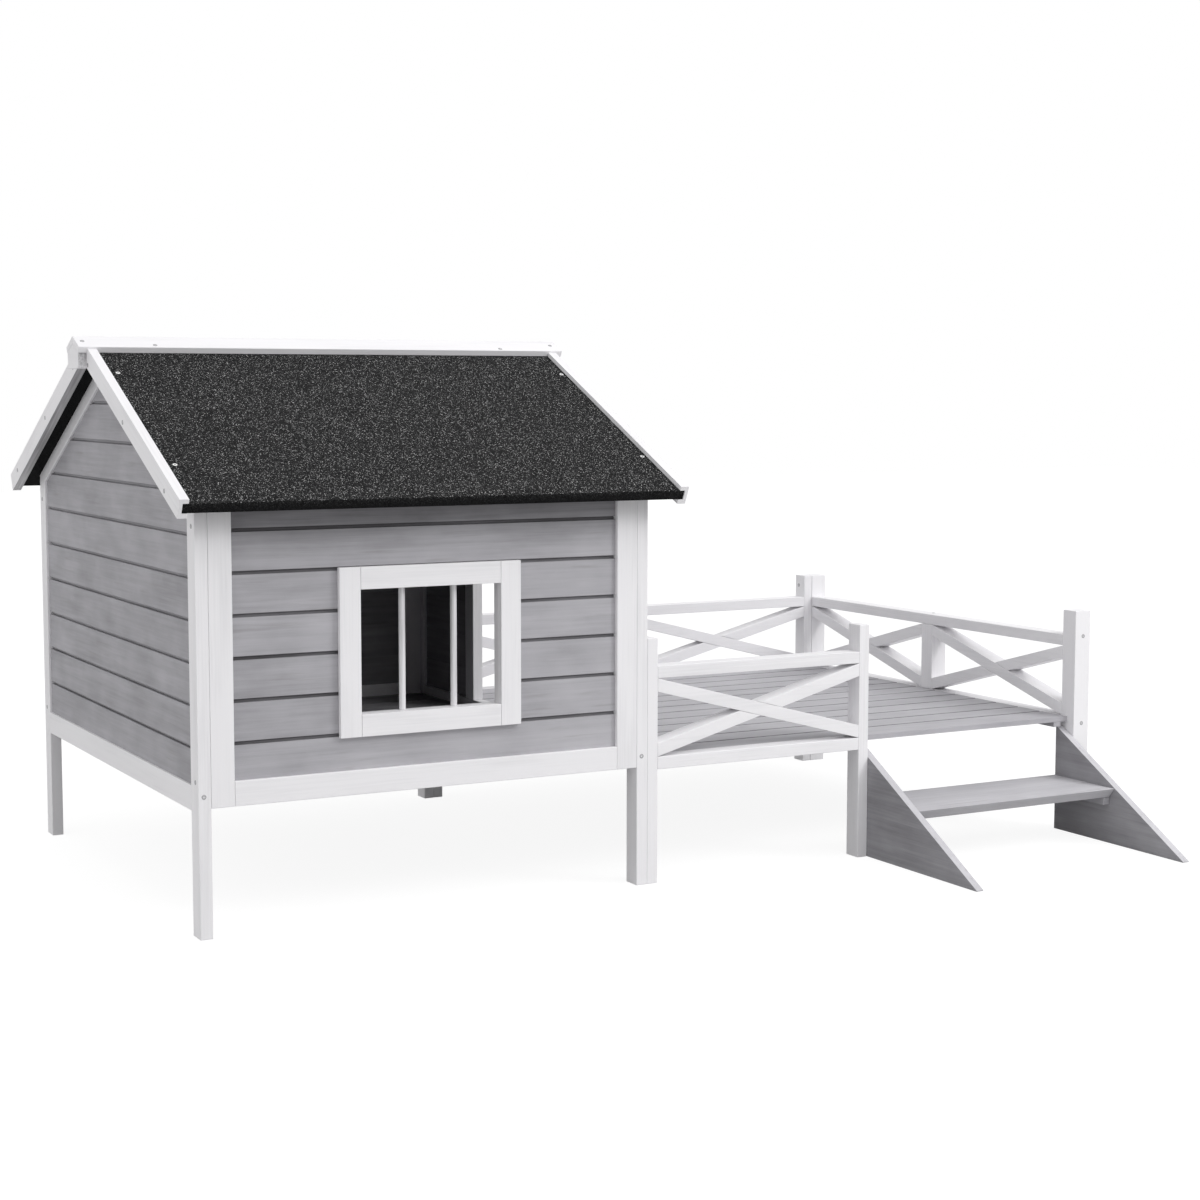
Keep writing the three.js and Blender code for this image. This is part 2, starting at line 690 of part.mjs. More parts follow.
function addBearers() {
  const z = [deckUnderside - FIT - BEARER_HEIGHT, deckUnderside - FIT];
  const y = between(PANEL_DEPTH, backPanelY);
  const middleX = [middlePostRange[1] - BEARER_WIDTH, middlePostRange[1]];
  const leftX = [CABIN_LENGTH + FIT, CABIN_LENGTH + BEARER_WIDTH];
  const rightEnd = rightStringerX[0] - FIT;
  const rightX = [rightEnd - BEARER_WIDTH, rightEnd];
  add("deck_bearer_left", greyStain, block(leftX, y, z));
  add("deck_bearer_middle", greyStain, block(middleX, y, z));
  add("deck_bearer_right", greyStain, block(rightX, [DECK_EDGE_SETBACK, y[1]], z));
}

// Y of the stringers' sloping edge at a height
function stringerEdge(z) {
  const climb = (stringerTop - STRINGER_TOE) / STRINGER_RUN;
  return stringerTip + (z - STRINGER_TOE) / climb;
}

function addSteps() {
  const stringer = [
    [stringerTip, 0],
    [STRINGER_BACK, 0],
    [STRINGER_BACK, stringerTop],
    [stringerTip, STRINGER_TOE],
  ];
  add("stringer_left", greyStain, prismAlongX(stringer, leftStringerX));
  add("stringer_right", greyStain, prismAlongX(stringer, rightStringerX));

  const treadFront = stringerEdge(TREAD_TOP);
  const treadBottom = TREAD_TOP - TREAD_THICKNESS;
  const treadX = between(leftStringerX[1], rightStringerX[0]);
  const tread = [
    [treadFront, TREAD_TOP],
    [treadFront + TREAD_SLANT, treadBottom],
    [STRINGER_BACK, treadBottom],
    [STRINGER_BACK, TREAD_TOP],
  ];
  add("stair_tread", greyStain, prismAlongX(tread, treadX));

  const cleatY = [treadFront + TREAD_SLANT, STRINGER_BACK];
  const cleatZ = [treadBottom - FIT - CLEAT_SIZE, treadBottom - FIT];
  const leftCleatX = [treadX[0], treadX[0] + CLEAT_SIZE];
  const rightCleatX = [treadX[1] - CLEAT_SIZE, treadX[1]];
  add("tread_cleat_left", greyStain, block(leftCleatX, cleatY, cleatZ));
  add("tread_cleat_right", greyStain, block(rightCleatX, cleatY, cleatZ));
}

// ---- The whole house -----------------------------------------------------------------------

addLegs();
addFrontFrame();
addBackFrame();
addSideFrame("left", leftFrameX);
addSideFrame("right", mirrorX(leftFrameX));
addFrontBoarding();
addBackBoarding();
addGableBoarding();
addDoorwayFrame();
addFloor();
addWindow();
addRoofPanels();
addBargeBoards();
addRidge();
addPosts();
addFrontPanel();
addBackPanel();
addEndPanel();
addDeck();
addBearers();
addSteps();

// The origin is on the ground, under the middle of the whole house.
const [bargeFrontY] = slopePoint(bargeEnd, -BARGE_FLANGE_THICKNESS);
const [lowX] = ridgeX;
const lowY = Math.min(stringerTip, bargeFrontY);
const highY = CABIN_DEPTH - bargeFrontY;
assembly.position.set(-(lowX + porchEnd) / 2, -(lowY + highY) / 2, 0);

export default assembly;
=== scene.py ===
import math
import random

import bmesh
import bpy
from mathutils import Matrix, Vector


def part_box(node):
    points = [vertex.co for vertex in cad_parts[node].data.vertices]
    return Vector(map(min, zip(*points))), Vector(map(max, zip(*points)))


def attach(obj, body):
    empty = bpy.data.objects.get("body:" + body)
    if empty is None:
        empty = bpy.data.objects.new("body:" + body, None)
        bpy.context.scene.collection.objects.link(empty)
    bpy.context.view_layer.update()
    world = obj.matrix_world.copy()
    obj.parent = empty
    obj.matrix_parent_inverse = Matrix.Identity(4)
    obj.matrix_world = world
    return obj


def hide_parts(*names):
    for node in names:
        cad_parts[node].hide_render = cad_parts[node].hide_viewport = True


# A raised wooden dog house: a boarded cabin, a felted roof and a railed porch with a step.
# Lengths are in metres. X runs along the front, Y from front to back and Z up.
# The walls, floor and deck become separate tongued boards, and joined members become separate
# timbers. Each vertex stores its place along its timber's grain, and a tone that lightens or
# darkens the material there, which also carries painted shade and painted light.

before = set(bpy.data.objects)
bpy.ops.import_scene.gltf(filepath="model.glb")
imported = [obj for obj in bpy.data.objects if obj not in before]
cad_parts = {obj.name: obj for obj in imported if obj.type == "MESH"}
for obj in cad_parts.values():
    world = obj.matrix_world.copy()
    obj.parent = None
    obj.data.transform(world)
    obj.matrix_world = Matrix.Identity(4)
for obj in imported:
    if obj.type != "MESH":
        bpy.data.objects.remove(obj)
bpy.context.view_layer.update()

# ---- Sizes that the frame doesn't give -------------------------------------------------------

# Rounded edges and other mesh clean-up
ARRIS = 0.001
FINE_ARRIS = 0.0008  # of the window's members and the crossed bars
FELT_ARRIS = 0.0008
ARRIS_SEGMENTS = 2
SHARP_ANGLE = math.radians(15)  # edges between faces at more than this angle are rounded
SMOOTH_ANGLE = math.radians(40)  # edges of a round bar below this angle look smooth
FLAT_ANGLE = math.radians(0.5)  # faces at less than this angle are joined
MERGE_DISTANCE = 1e-6  # nearer vertices are joined

JOINT = 0.0005  # gap between two members of one node

ROOF_PITCH = math.radians(25.5)
ROOF_THICKNESS = 0.018

# Boards of the walls, the floor and the deck
BOARD_PITCH = 0.0707
FIRST_WALL_BOARD = 0.0615
FIRST_DECK_BOARD = 0.0642
SEAM_END_MARGIN = 0.007  # no seam comes nearer than this to the last board's end
GROOVE_HALF_WIDTH = 0.0028
GROOVE_DEPTH = 0.0045
FRONT_GROOVE_DEPTH = 0.0055
SLIT_HEIGHT = 0.0018
SLIT_DEPTH = 0.0068
TONGUE_BACK = 0.0086
TONGUE_REACH = 0.006
TONGUE_PLAY = 0.0003
BACK_GAP = 0.0006
BOARD_ARRIS = 0.0008
CUT_MARGIN = 0.004  # how far a cut's shape reaches past what it cuts

# Frames of the window, the doorway and the back wall
MEMBER_WIDTH = 0.0385
WINDOW_BOARD_THICKNESS = 0.010
WINDOW_LINING_THICKNESS = 0.009
STILE_WIDTH = 0.041
HOLE_CLEARANCE = 0.0003

BRACE_WIDTH = 0.0237

# ---- Grain and tones -------------------------------------------------------------------------

GRAIN_SHIFT = 20  # a timber's grain starts up to this many metres into the noise

# Lightness of the timbers, in shares of the material's range of tones
TONE_SPREAD = 0.04  # by chance, up or down
DECK_LIGHTNESS = 0.16
TREAD_LIGHTNESS = 0.30
SAWN_EDGE_LIGHTNESS = 0.30
# Painted shade darkens the stringers, all but their sloped sawn edges
STRINGER_LIGHTNESS = -0.18
BAR_LIGHTNESS = -0.32
GABLE_WALL_LIGHTNESS = -0.07
# Painted shade darkens the floor inside the cabin
FLOOR_LIGHTNESS = -0.25
# Painted shade under the eaves of the front and back walls
EAVE_SHADE = 0.38  # less lightness under the eaves, fading out downwards
EAVE_SHADE_REACH = 0.14
FRONT_WALL_LIGHTNESS = 0.02
# Painted light: the front and back walls grow lighter towards the porch
FRONT_WALL_PAINTED_LIGHT = 0.16  # gain in lightness per metre towards the porch
# Painted shade: the deck grows darker away from the cabin, towards its end panel
DECK_PAINTED_SHADE_SLOPE = 0.12  # loss in lightness per metre from the cabin

# Painted shade: how much darker the grooves' insides and the boards' backs are
FRONT_WALL_SHADE = 0.33
GABLE_WALL_SHADE = 0.1
FLOOR_SHADE = 0.2
DECK_SHADE = 0.6

# Painted shade: how much darker the white is under the barge boards and on the apex blocks' sides
UNDERSIDE_SHADE = 0.55
APEX_BLOCK_SIDE_SHADE = 0.45

# Painted shade on the felt's edges and underside: how far they keep to its darker granules
FELT_EDGE_SHADE = 0.05
FELT_UNDERSIDE_SHADE = 0.3
FELT_UNDERSIDE_DEPTH = ROOF_THICKNESS - FELT_ARRIS * 1.5  # the underside lies deeper than this

# Limits on the parts of a face's unit normal, to pick the faces that are shaded
NEXT_TO_NOTHING = 0.1
CLEARLY_SLANTED = 0.3
WELL_DOWNWARD = -0.88
NEARLY_WHOLE = 0.98

# ---- Screws ----------------------------------------------------------------------------------

SCREW_RADIUS = 0.0042
SCREW_RISE = 0.0006
SCREW_SHANK = 0.002
SCREW_SIDES = 20
SCREW_FLAT = 0.7  # radius of the head's flat top, as a share of its whole radius
SCREW_SHOULDER = (0.93, 0.65)  # a point of the head's rounding, in shares of radius and rise
RECESS_REACH = 0.62  # of the cross, as a share of the radius
RECESS_HALF_WIDTH = 0.16

# Places of the screws. Points on the house are measured from the ground under the cabin's front
# left corner. Points on the roof are (x, distance down from the ridge).
LEG_SCREW_HEIGHT = 0.239
LEFT_LEG_SCREW_X = 0.0095
RIGHT_LEG_SCREW_INSET = 0.012
LEFT_SIDE_SCREWS = [(0.0146, 0.262), (0.967, 0.262), (0.0157, 0.684), (0.968, 0.685)]  # (y, z)
END_POST_SCREW_INSET = 0.018
END_POST_SCREW_HEIGHTS = (0.402, 0.222)
BACK_PANEL_SCREW = (0.970, 0.430)  # (y, z)
END_RAIL_SCREW_INSET = 0.013
END_RAIL_SCREW_Y = 0.501
FELT_SCREW_COLUMNS = (-0.0098, 0.8743)
FELT_SCREW_ROWS = (0.1229, 0.4752)
CAP_SCREWS = [(-0.0477, 0.0164), (0.0823, 0.0313), (0.7780, 0.0332), (0.8965, 0.0156)]
FRONT_BARGE_SCREWS = [(0.0520, 0.0185), (0.2838, 0.0174), (0.5351, 0.0164)]  # (down, depth)
BACK_BARGE_SCREWS = [(0.0735, 0.0118), (0.3018, 0.0073), (0.5541, 0.0064)]

# ---- Materials, camera and light -------------------------------------------------------------

# Noises of the materials, as (waves per metre along the grain, and across it, detail)
STAIN_CLOUDS = (9.0, 15.0, 6.0)
STAIN_BANDS = (3.5, 45.0, 2.0)
STAIN_STREAKS = (5.0, 160.0, 3.0)
STAIN_FIBRES = (14.0, 900.0, 2.0)
STAIN_STROKES = (7.0, 110.0, 4.0)
PAINT_CLOUDS = (4.0, 20.0, 2.0)
PAINT_STREAKS = (7.0, 260.0, 3.0)
NOISE_MIDDLE = 0.5
PLAIN_TONE = 0.5  # where a timber without lightness, shade or noise lies in its colour ramp

# Weights of the noises in the tones and in the relief
STAIN_CLOUD_WEIGHT = 0.38
STAIN_BAND_WEIGHT = 0.18
STAIN_STREAK_WEIGHT = 0.22
STAIN_FIBRE_WEIGHT = 0.12
FIBRE_RELIEF = 0.6
STREAK_RELIEF = 0.4
PAINT_TONE_WEIGHT = 0.8
PAINT_CLOUD_WEIGHT = 0.6
PAINT_STREAK_WEIGHT = 0.4

# Colours by tone
STAIN_COLOURS = [
    (0.0, (0.100, 0.097, 0.104)),
    (0.5, (0.415, 0.408, 0.434)),
    (1.0, (0.640, 0.632, 0.662)),
]
PAINT_COLOURS = [
    (0.0, (0.250, 0.247, 0.255)),
    (0.3, (0.800, 0.792, 0.812)),
    (0.5, (0.875, 0.866, 0.886)),
    (1.0, (0.915, 0.906, 0.926)),
]
FELT_COLOURS = [
    (0.0, (0.005, 0.005, 0.0053)),
    (0.60, (0.016, 0.016, 0.0165)),
    (0.86, (0.042, 0.042, 0.043)),
    (0.95, (0.150, 0.150, 0.152)),
    (1.0, (0.750, 0.750, 0.750)),
]
GRANULES_PER_METRE = 900.0
SCREW_METALLIC = 0.35

# Thin dark strokes in the stain begin where their noise passes the first limit, and are
# strongest past the second.
STROKE_LIMITS = (0.62, 0.78)
STROKE_STRENGTH = 0.5
STROKE_COLOUR = (0.255, 0.240, 0.240, 1)

# The camera, solved from the photo, with its angles in degrees
CAMERA_PLACE = (-2.00710, -3.69296, 0.90835)
CAMERA_TILT = 84.728
CAMERA_TURN = -28.334
CAMERA_LENS = 64.079
CAMERA_SENSOR = 36.0
CAMERA_SHIFT = (0.015995, -0.01263)

# Lights. A sun is (strength, softness in degrees, direction of its rays).
WORLD_STRENGTH = 0.44
KEY_POWER = 106.0
KEY_SIZE = 2.1
KEY_DISTANCE = 6.0
KEY_AIM = (-0.3, -0.3, 0.5)
KEY_SIDE = (11, -10, 8)
OVERHEAD_SUN = (1.22, 60, (-0.25, 0.5, -1))
FILL_SUN = (0.92, 90, (1, 0.25, -0.3))

# The floor: greys for what it reflects on the house and for the shadow that the camera sees
FLOOR_HALF_SIZE = 15.0
FLOOR_HEIGHT = -0.0005
FLOOR_BOUNCE = (0.55, 0.55, 0.55, 1)
FLOOR_SHADOW = (0.2, 0.2, 0.2, 1)
FLOOR_GLOW = 0.90
WHITE = (1, 1, 1, 1)

# ---- Lines of the house, from the frame ------------------------------------------------------

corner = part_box("leg_front_left")[0]  # ground under the front left leg's outer corner
back_face_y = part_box("leg_back_left")[1].y
ridge_y = (corner.y + back_face_y) / 2
felt_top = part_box("roof_felt_front")[1]
felt_ridge_z = felt_top.z + (ridge_y - felt_top.y) * math.tan(ROOF_PITCH)

X_AXIS = Vector((1, 0, 0))
Y_AXIS = Vector((0, 1, 0))
Z_AXIS = Vector((0, 0, 1))
FRONT_SLOPE = Vector((0, math.cos(ROOF_PITCH), math.sin(ROOF_PITCH)))
BACK_SLOPE = Vector((0, math.cos(ROOF_PITCH), -math.sin(ROOF_PITCH)))
FRONT_SLOPE_NORMAL = Vector((0, -math.sin(ROOF_PITCH), math.cos(ROOF_PITCH)))


def roof_height(y, depth):
    """Height at y of a roof layer, whose depth is square to the slope, from the felt's top."""
    return felt_ridge_z - depth / math.cos(ROOF_PITCH) - abs(y - ridge_y) * math.tan(ROOF_PITCH)


def roof_depth(y, z):
    """Depth of a point under the felt's top."""
    return (felt_ridge_z - abs(y - ridge_y) * math.tan(ROOF_PITCH) - z) * math.cos(ROOF_PITCH)


def on_front_slope(x, down, depth):
    """A point at a distance down from the ridge; x is measured from the cabin's left face."""
    along = -down * FRONT_SLOPE
    inward = -depth * FRONT_SLOPE_NORMAL
    return Vector((corner.x + x, ridge_y, felt_ridge_z)) + along + inward


def on_house(x, y, z):
    """A point measured from the ground under the front left leg's outer corner."""
    return corner + Vector((x, y, z))


def slope_at(centre):
    """Direction of a roof timber's grain, by the slope that it lies on."""
    return FRONT_SLOPE if centre.y < ridge_y else BACK_SLOPE


# ---- Mesh helpers ----------------------------------------------------------------------------


def in_plane(axis, pair, along):
    """The point with a pair of coordinates in the plane across an axis."""
    first, second = pair
    if axis == "x":
        return Vector((along, first, second))
    if axis == "y":
        return Vector((first, along, second))
    return Vector((first, second, along))


def join_loops(bm, upper, lower):
    """Faces between two closed loops of as many vertices. It returns the upper loop's edges."""
    edges = []
    for index in range(len(upper)):
        after = (index + 1) % len(upper)
        bm.faces.new((upper[index], lower[index], lower[after], upper[after]))
        edges.append(bm.edges.get((upper[index], upper[after])))
    return edges


def add_prism(bm, outline, axis, low, high):
    """A prism along an axis. Its outline is given in the plane across that axis."""
    near = [bm.verts.new(in_plane(axis, pair, low)) for pair in outline]
    far = [bm.verts.new(in_plane(axis, pair, high)) for pair in outline]
    bm.faces.new(near)
    bm.faces.new(reversed(far))
    join_loops(bm, near, far)


def rectangle(u, v):
    """Corners of a rectangle between the limits u and v."""
    return [(u[0], v[0]), (u[1], v[0]), (u[1], v[1]), (u[0], v[1])]


def add_block(bm, x, y, z):
    add_prism(bm, rectangle(x, y), "z", *z)


def span(node, axis):
    """A node's low and high coordinate along x, y or z."""
    low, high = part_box(node)
    return getattr(low, axis), getattr(high, axis)


def inset(limits, amount):
    """A pair of limits moved towards each other, or apart if the amount is negative."""
    return limits[0] + amount, limits[1] - amount


def node_mesh(node):
    """A node's own shape with its triangles joined into whole faces."""
    bm = bmesh.new()
    bm.from_mesh(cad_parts[node].data)
    bmesh.ops.remove_doubles(bm, verts=bm.verts, dist=MERGE_DISTANCE)
    bmesh.ops.dissolve_limit(bm, angle_limit=FLAT_ANGLE, verts=bm.verts, edges=bm.edges)
    return bm


def scratch_object(bm):
    """A short-lived object for a boolean. It uses up the mesh."""
    bmesh.ops.recalc_face_normals(bm, faces=bm.faces)
    mesh = bpy.data.meshes.new("scratch")
    bm.to_mesh(mesh)
    bm.free()
    scratch = bpy.data.objects.new("scratch", mesh)
    bpy.context.scene.collection.objects.link(scratch)
    return scratch


def combine(bm, other, operation):
    """Intersects bm with another mesh, takes it away or joins it. Both are used up."""
    first = scratch_object(bm)
    second = scratch_object(other)
    modifier = first.modifiers.new("combine", "BOOLEAN")
    modifier.operation = operation
    modifier.solver = "EXACT"
    modifier.object = second
    bpy.context.view_layer.update()
    depsgraph = bpy.context.evaluated_depsgraph_get()
    result = bmesh.new()
    result.from_object(first, depsgraph)
    for scratch in (first, second):
        mesh = scratch.data
        bpy.data.objects.remove(scratch)
        bpy.data.meshes.remove(mesh)
    bmesh.ops.dissolve_limit(
        result, angle_limit=FLAT_ANGLE, verts=result.verts, edges=result.edges
    )
    return result


def split_at_ridge(bm):
    """Parts a mesh into a front and a back half that meet in a fine joint under the ridge."""
    halves = bmesh.new()
    for side in (-1, 1):
        half = bm.copy()
        cut = bmesh.ops.bisect_plane(
            half,
            geom=half.verts[:] + half.edges[:] + half.faces[:],
            plane_co=(0, ridge_y + side * JOINT / 2, 0),
            plane_no=(0, -side, 0),
            clear_outer=True,
        )
        edges = [item for item in cut["geom_cut"] if isinstance(item, bmesh.types.BMEdge)]
        bmesh.ops.holes_fill(half, edges=edges)
        mesh = bpy.data.meshes.new("half")
        half.to_mesh(mesh)
        half.free()
        halves.from_mesh(mesh)
        bpy.data.meshes.remove(mesh)
    bm.free()
    return halves


def soften(bm, width):
    """Rounds the edges between faces that meet at an angle."""
    bmesh.ops.recalc_face_normals(bm, faces=bm.faces)
    sharp = [edge for edge in bm.edges if edge.calc_face_angle(0) > SHARP_ANGLE]
    bmesh.ops.bevel(
        bm,
        geom=sharp,
        offset=width,
        offset_type="OFFSET",
        segments=ARRIS_SEGMENTS,
        profile=0.5,  # a round one
        affect="EDGES",
        clamp_overlap=True,
    )


def by_place(body):
    """Sorts bodies from low to high, front to back and left to right, to a tenth of a mm."""
    low, high, _ = body
    return [round(value, 4) for value in (low + high).zyx]


def islands(bm):
    """The separate closed bodies of a mesh, as (low corner, high corner, vertices), in an order
    that is the same on every run."""
    found = []
    left = set(bm.verts)
    for seed in bm.verts:
        if seed not in left:
            continue
        left.remove(seed)
        island = [seed]
        stack = [seed]
        while stack:
            for edge in stack.pop().link_edges:
                for vertex in edge.verts:
                    if vertex in left:
                        left.remove(vertex)
                        island.append(vertex)
                        stack.append(vertex)
        low = Vector([min(v.co[i] for v in island) for i in range(3)])
        high = Vector([max(v.co[i] for v in island) for i in range(3)])
        found.append((low, high, island))
    return sorted(found, key=by_place)


def lay_grain(bm, name, direction, lightness, shade_at, spread):
    """Stores each vertex's place along and across its own timber, and its tone: one for the
    timber, less the painted shade at the vertex, which painted light makes negative. The grain's
    direction is a vector, a function of the timber's centre, or None for the timber's longest side."""
    grain = bm.verts.layers.float_vector.new("grain")
    tone = bm.verts.layers.float.new("tone")
    chance = random.Random(name)
    for low, high, island in islands(bm):
        size = high - low
        if direction is None:
            along = (X_AXIS, Y_AXIS, Z_AXIS)[max(range(3), key=lambda i: size[i])]
        elif callable(direction):
            along = direction((low + high) / 2)
        else:
            along = direction
        side = X_AXIS if abs(along.dot(X_AXIS)) < 0.5 else Y_AXIS
        depth = along.cross(side).normalized()
        side = depth.cross(along)
        shift = Vector([chance.uniform(0, GRAIN_SHIFT) for _ in range(3)])
        timber_tone = lightness + spread * chance.uniform(-1, 1)
        for vertex in island:
            place = Vector((vertex.co.dot(along), vertex.co.dot(side), vertex.co.dot(depth)))
            vertex[grain] = place + shift
            vertex[tone] = timber_tone - (shade_at(vertex.co) if shade_at else 0)


def add_piece(
    bm, name, slot, nodes=(), direction=None, lightness=0.0, shade_at=None, smooth=False
):
    """Makes a mesh a piece of the house, with its slot's material, in place of some nodes."""
    bmesh.ops.recalc_face_normals(bm, faces=bm.faces)
    spread = 0 if slot == "roof_felt" else TONE_SPREAD
    lay_grain(bm, name, direction, lightness, shade_at, spread)
    mesh = bpy.data.meshes.new(name)
    bm.to_mesh(mesh)
    bm.free()
    if smooth:
        mesh.shade_smooth()
        mesh.set_sharp_from_angle(angle=SMOOTH_ANGLE)
    piece = bpy.data.objects.new(name, mesh)
    bpy.context.scene.collection.objects.link(piece)
    mesh.materials.append(materials[slot])
    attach(piece, "root")
    if nodes:
        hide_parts(*nodes)


# ---- Materials -------------------------------------------------------------------------------


def add_node(tree, kind, inputs=(), **settings):
    """A shader node with its settings, and its inputs by name or index as values or sockets."""
    node = tree.nodes.new(kind)
    for key, value in settings.items():
        setattr(node, key, value)
    for key, value in dict(inputs).items():
        if isinstance(value, bpy.types.NodeSocket):
            tree.links.new(value, node.inputs[key])
        else:
            node.inputs[key].default_value = value
    return node


def new_material(name, roughness, specular=0.5):
    material = bpy.data.materials.new(name)
    material.use_nodes = True
    shader = material.node_tree.nodes["Principled BSDF"]
    shader.inputs["Roughness"].default_value = roughness
    shader.inputs["Specular IOR Level"].default_value = specular
    return material, material.node_tree, shader


def tone_and_shade_value(tree):
    return add_node(tree, "ShaderNodeAttribute", attribute_name="tone").outputs["Fac"]


def grain_noise(tree, per_metre_along, per_metre_across, detail):
    """Noise from 0 to 1, drawn out along the grain."""
    place = add_node(tree, "ShaderNodeAttribute", attribute_name="grain").outputs["Vector"]
    scale = (per_metre_along, per_metre_across, per_metre_across)
    stretched = add_node(tree, "ShaderNodeVectorMath", {0: place, 1: scale}, operation="MULTIPLY")
    noise = add_node(
        tree, "ShaderNodeTexNoise", {"Vector": stretched.outputs[0], "Scale": 1.0, "Detail": detail}
    )
    return noise.outputs[0]


def weighted_sum(tree, terms, start):
    """start plus each signal's distance from its middle, times its weight."""
    total = start
    for signal, middle, weight in terms:
        centred = add_node(tree, "ShaderNodeMath", {0: signal, 1: middle}, operation="SUBTRACT")
        total = add_node(
            tree,
            "ShaderNodeMath",
            {0: centred.outputs[0], 1: weight, 2: total},
            operation="MULTIPLY_ADD",
        ).outputs[0]
    return total


def ramp(tree, signal, stops):
    """A colour from a ramp of (position, colour) stops."""
    node = add_node(tree, "ShaderNodeValToRGB", {"Fac": signal})
    elements = node.color_ramp.elements
    while len(elements) < len(stops):
        elements.new(0.5)  # moved to its own position below
    for element, (position, colour) in zip(elements, stops):
        element.position = position
        element.color = (*colour, 1)
    return node.outputs["Color"]


def add_bump(tree, shader, height, distance, strength):
    bump = add_node(
        tree, "ShaderNodeBump", {"Height": height, "Distance": distance, "Strength": strength}
    )
    tree.links.new(bump.outputs["Normal"], shader.inputs["Normal"])


def grey_stain():
    material, tree, shader = new_material("grey_stain", roughness=0.62, specular=0.35)
    clouds = grain_noise(tree, *STAIN_CLOUDS)
    bands = grain_noise(tree, *STAIN_BANDS)
    streaks = grain_noise(tree, *STAIN_STREAKS)
    fibres = grain_noise(tree, *STAIN_FIBRES)
    variation = [
        (tone_and_shade_value(tree), 0, 1.0),
        (clouds, NOISE_MIDDLE, STAIN_CLOUD_WEIGHT),
        (bands, NOISE_MIDDLE, STAIN_BAND_WEIGHT),
        (streaks, NOISE_MIDDLE, STAIN_STREAK_WEIGHT),
        (fibres, NOISE_MIDDLE, STAIN_FIBRE_WEIGHT),
    ]
    stain = ramp(tree, weighted_sum(tree, variation, PLAIN_TONE), STAIN_COLOURS)
    stroke_range = {
        "Value": grain_noise(tree, *STAIN_STROKES),
        "From Min": STROKE_LIMITS[0],
        "From Max": STROKE_LIMITS[1],
        "To Min": 0.0,
        "To Max": STROKE_STRENGTH,
    }
    stroke = add_node(tree, "ShaderNodeMapRange", stroke_range).outputs["Result"]
    # Sockets 6 and 7 take the node's two colours, and output 2 is the mixed one.
    mixed = add_node(
        tree,
        "ShaderNodeMix",
        {"Factor": stroke, 6: stain, 7: STROKE_COLOUR},
        data_type="RGBA",
    )
    tree.links.new(mixed.outputs[2], shader.inputs["Base Color"])
    relief = weighted_sum(tree, [(fibres, 0, FIBRE_RELIEF), (streaks, 0, STREAK_RELIEF)], 0.0)
    add_bump(tree, shader, relief, distance=0.0004, strength=0.5)
    return material


def white_paint():
    material, tree, shader = new_material("white_paint", roughness=0.5, specular=0.4)
    streaks = grain_noise(tree, *PAINT_STREAKS)
    variation = [
        (tone_and_shade_value(tree), 0, PAINT_TONE_WEIGHT),
        (grain_noise(tree, *PAINT_CLOUDS), NOISE_MIDDLE, PAINT_CLOUD_WEIGHT),
        (streaks, NOISE_MIDDLE, PAINT_STREAK_WEIGHT),
    ]
    paint = ramp(tree, weighted_sum(tree, variation, PLAIN_TONE), PAINT_COLOURS)
    tree.links.new(paint, shader.inputs["Base Color"])
    add_bump(tree, shader, streaks, distance=0.0003, strength=0.35)
    return material


def roof_felt():
    material, tree, shader = new_material("roof_felt", roughness=0.95, specular=0.05)
    place = add_node(tree, "ShaderNodeAttribute", attribute_name="grain").outputs["Vector"]
    granules = add_node(
        tree, "ShaderNodeTexVoronoi", {"Vector": place, "Scale": GRANULES_PER_METRE}
    )
    pick = add_node(tree, "ShaderNodeSeparateColor", {0: granules.outputs["Color"]}).outputs[0]
    colour = ramp(tree, weighted_sum(tree, [(tone_and_shade_value(tree), 0, 1.0)], pick), FELT_COLOURS)
    tree.links.new(colour, shader.inputs["Base Color"])
    add_bump(tree, shader, granules.outputs["Distance"], distance=0.0006, strength=0.6)
    return material


def screw_head(name, colour, roughness):
    material, _, shader = new_material(name, roughness)
    shader.inputs["Base Color"].default_value = (*colour, 1)
    shader.inputs["Metallic"].default_value = SCREW_METALLIC
    return material


materials = {
    "white_paint": white_paint(),
    "grey_stain": grey_stain(),
    "roof_felt": roof_felt(),
    "painted_screw": screw_head("painted_screw", (0.40, 0.40, 0.41), 0.45),
    "bright_screw": screw_head("bright_screw", (0.86, 0.86, 0.86), 0.35),
}

# ---- Plain timbers ---------------------------------------------------------------------------


def shade_on_faces(bm, is_shaded, shade):
    """Paints shade on the vertices of the faces whose normals pass a test."""
    bmesh.ops.recalc_face_normals(bm, faces=bm.faces)
    shaded_faces = [face for face in bm.faces if is_shaded(face.normal)]
    places = {tuple(vertex.co) for face in shaded_faces for vertex in face.verts}
    return lambda place: shade if tuple(place) in places else 0


def add_timber(
    node, slot="white_paint", direction=None, lightness=0.0, is_shaded=None, shade=0.0
):
    """A node with rounded edges, in place of the plain one."""
    bm = node_mesh(node)
    soften(bm, ARRIS)
    shade_at = shade_on_faces(bm, is_shaded, shade) if is_shaded else None
    add_piece(bm, f"{node}.timber", slot, [node], direction, lightness, shade_at)


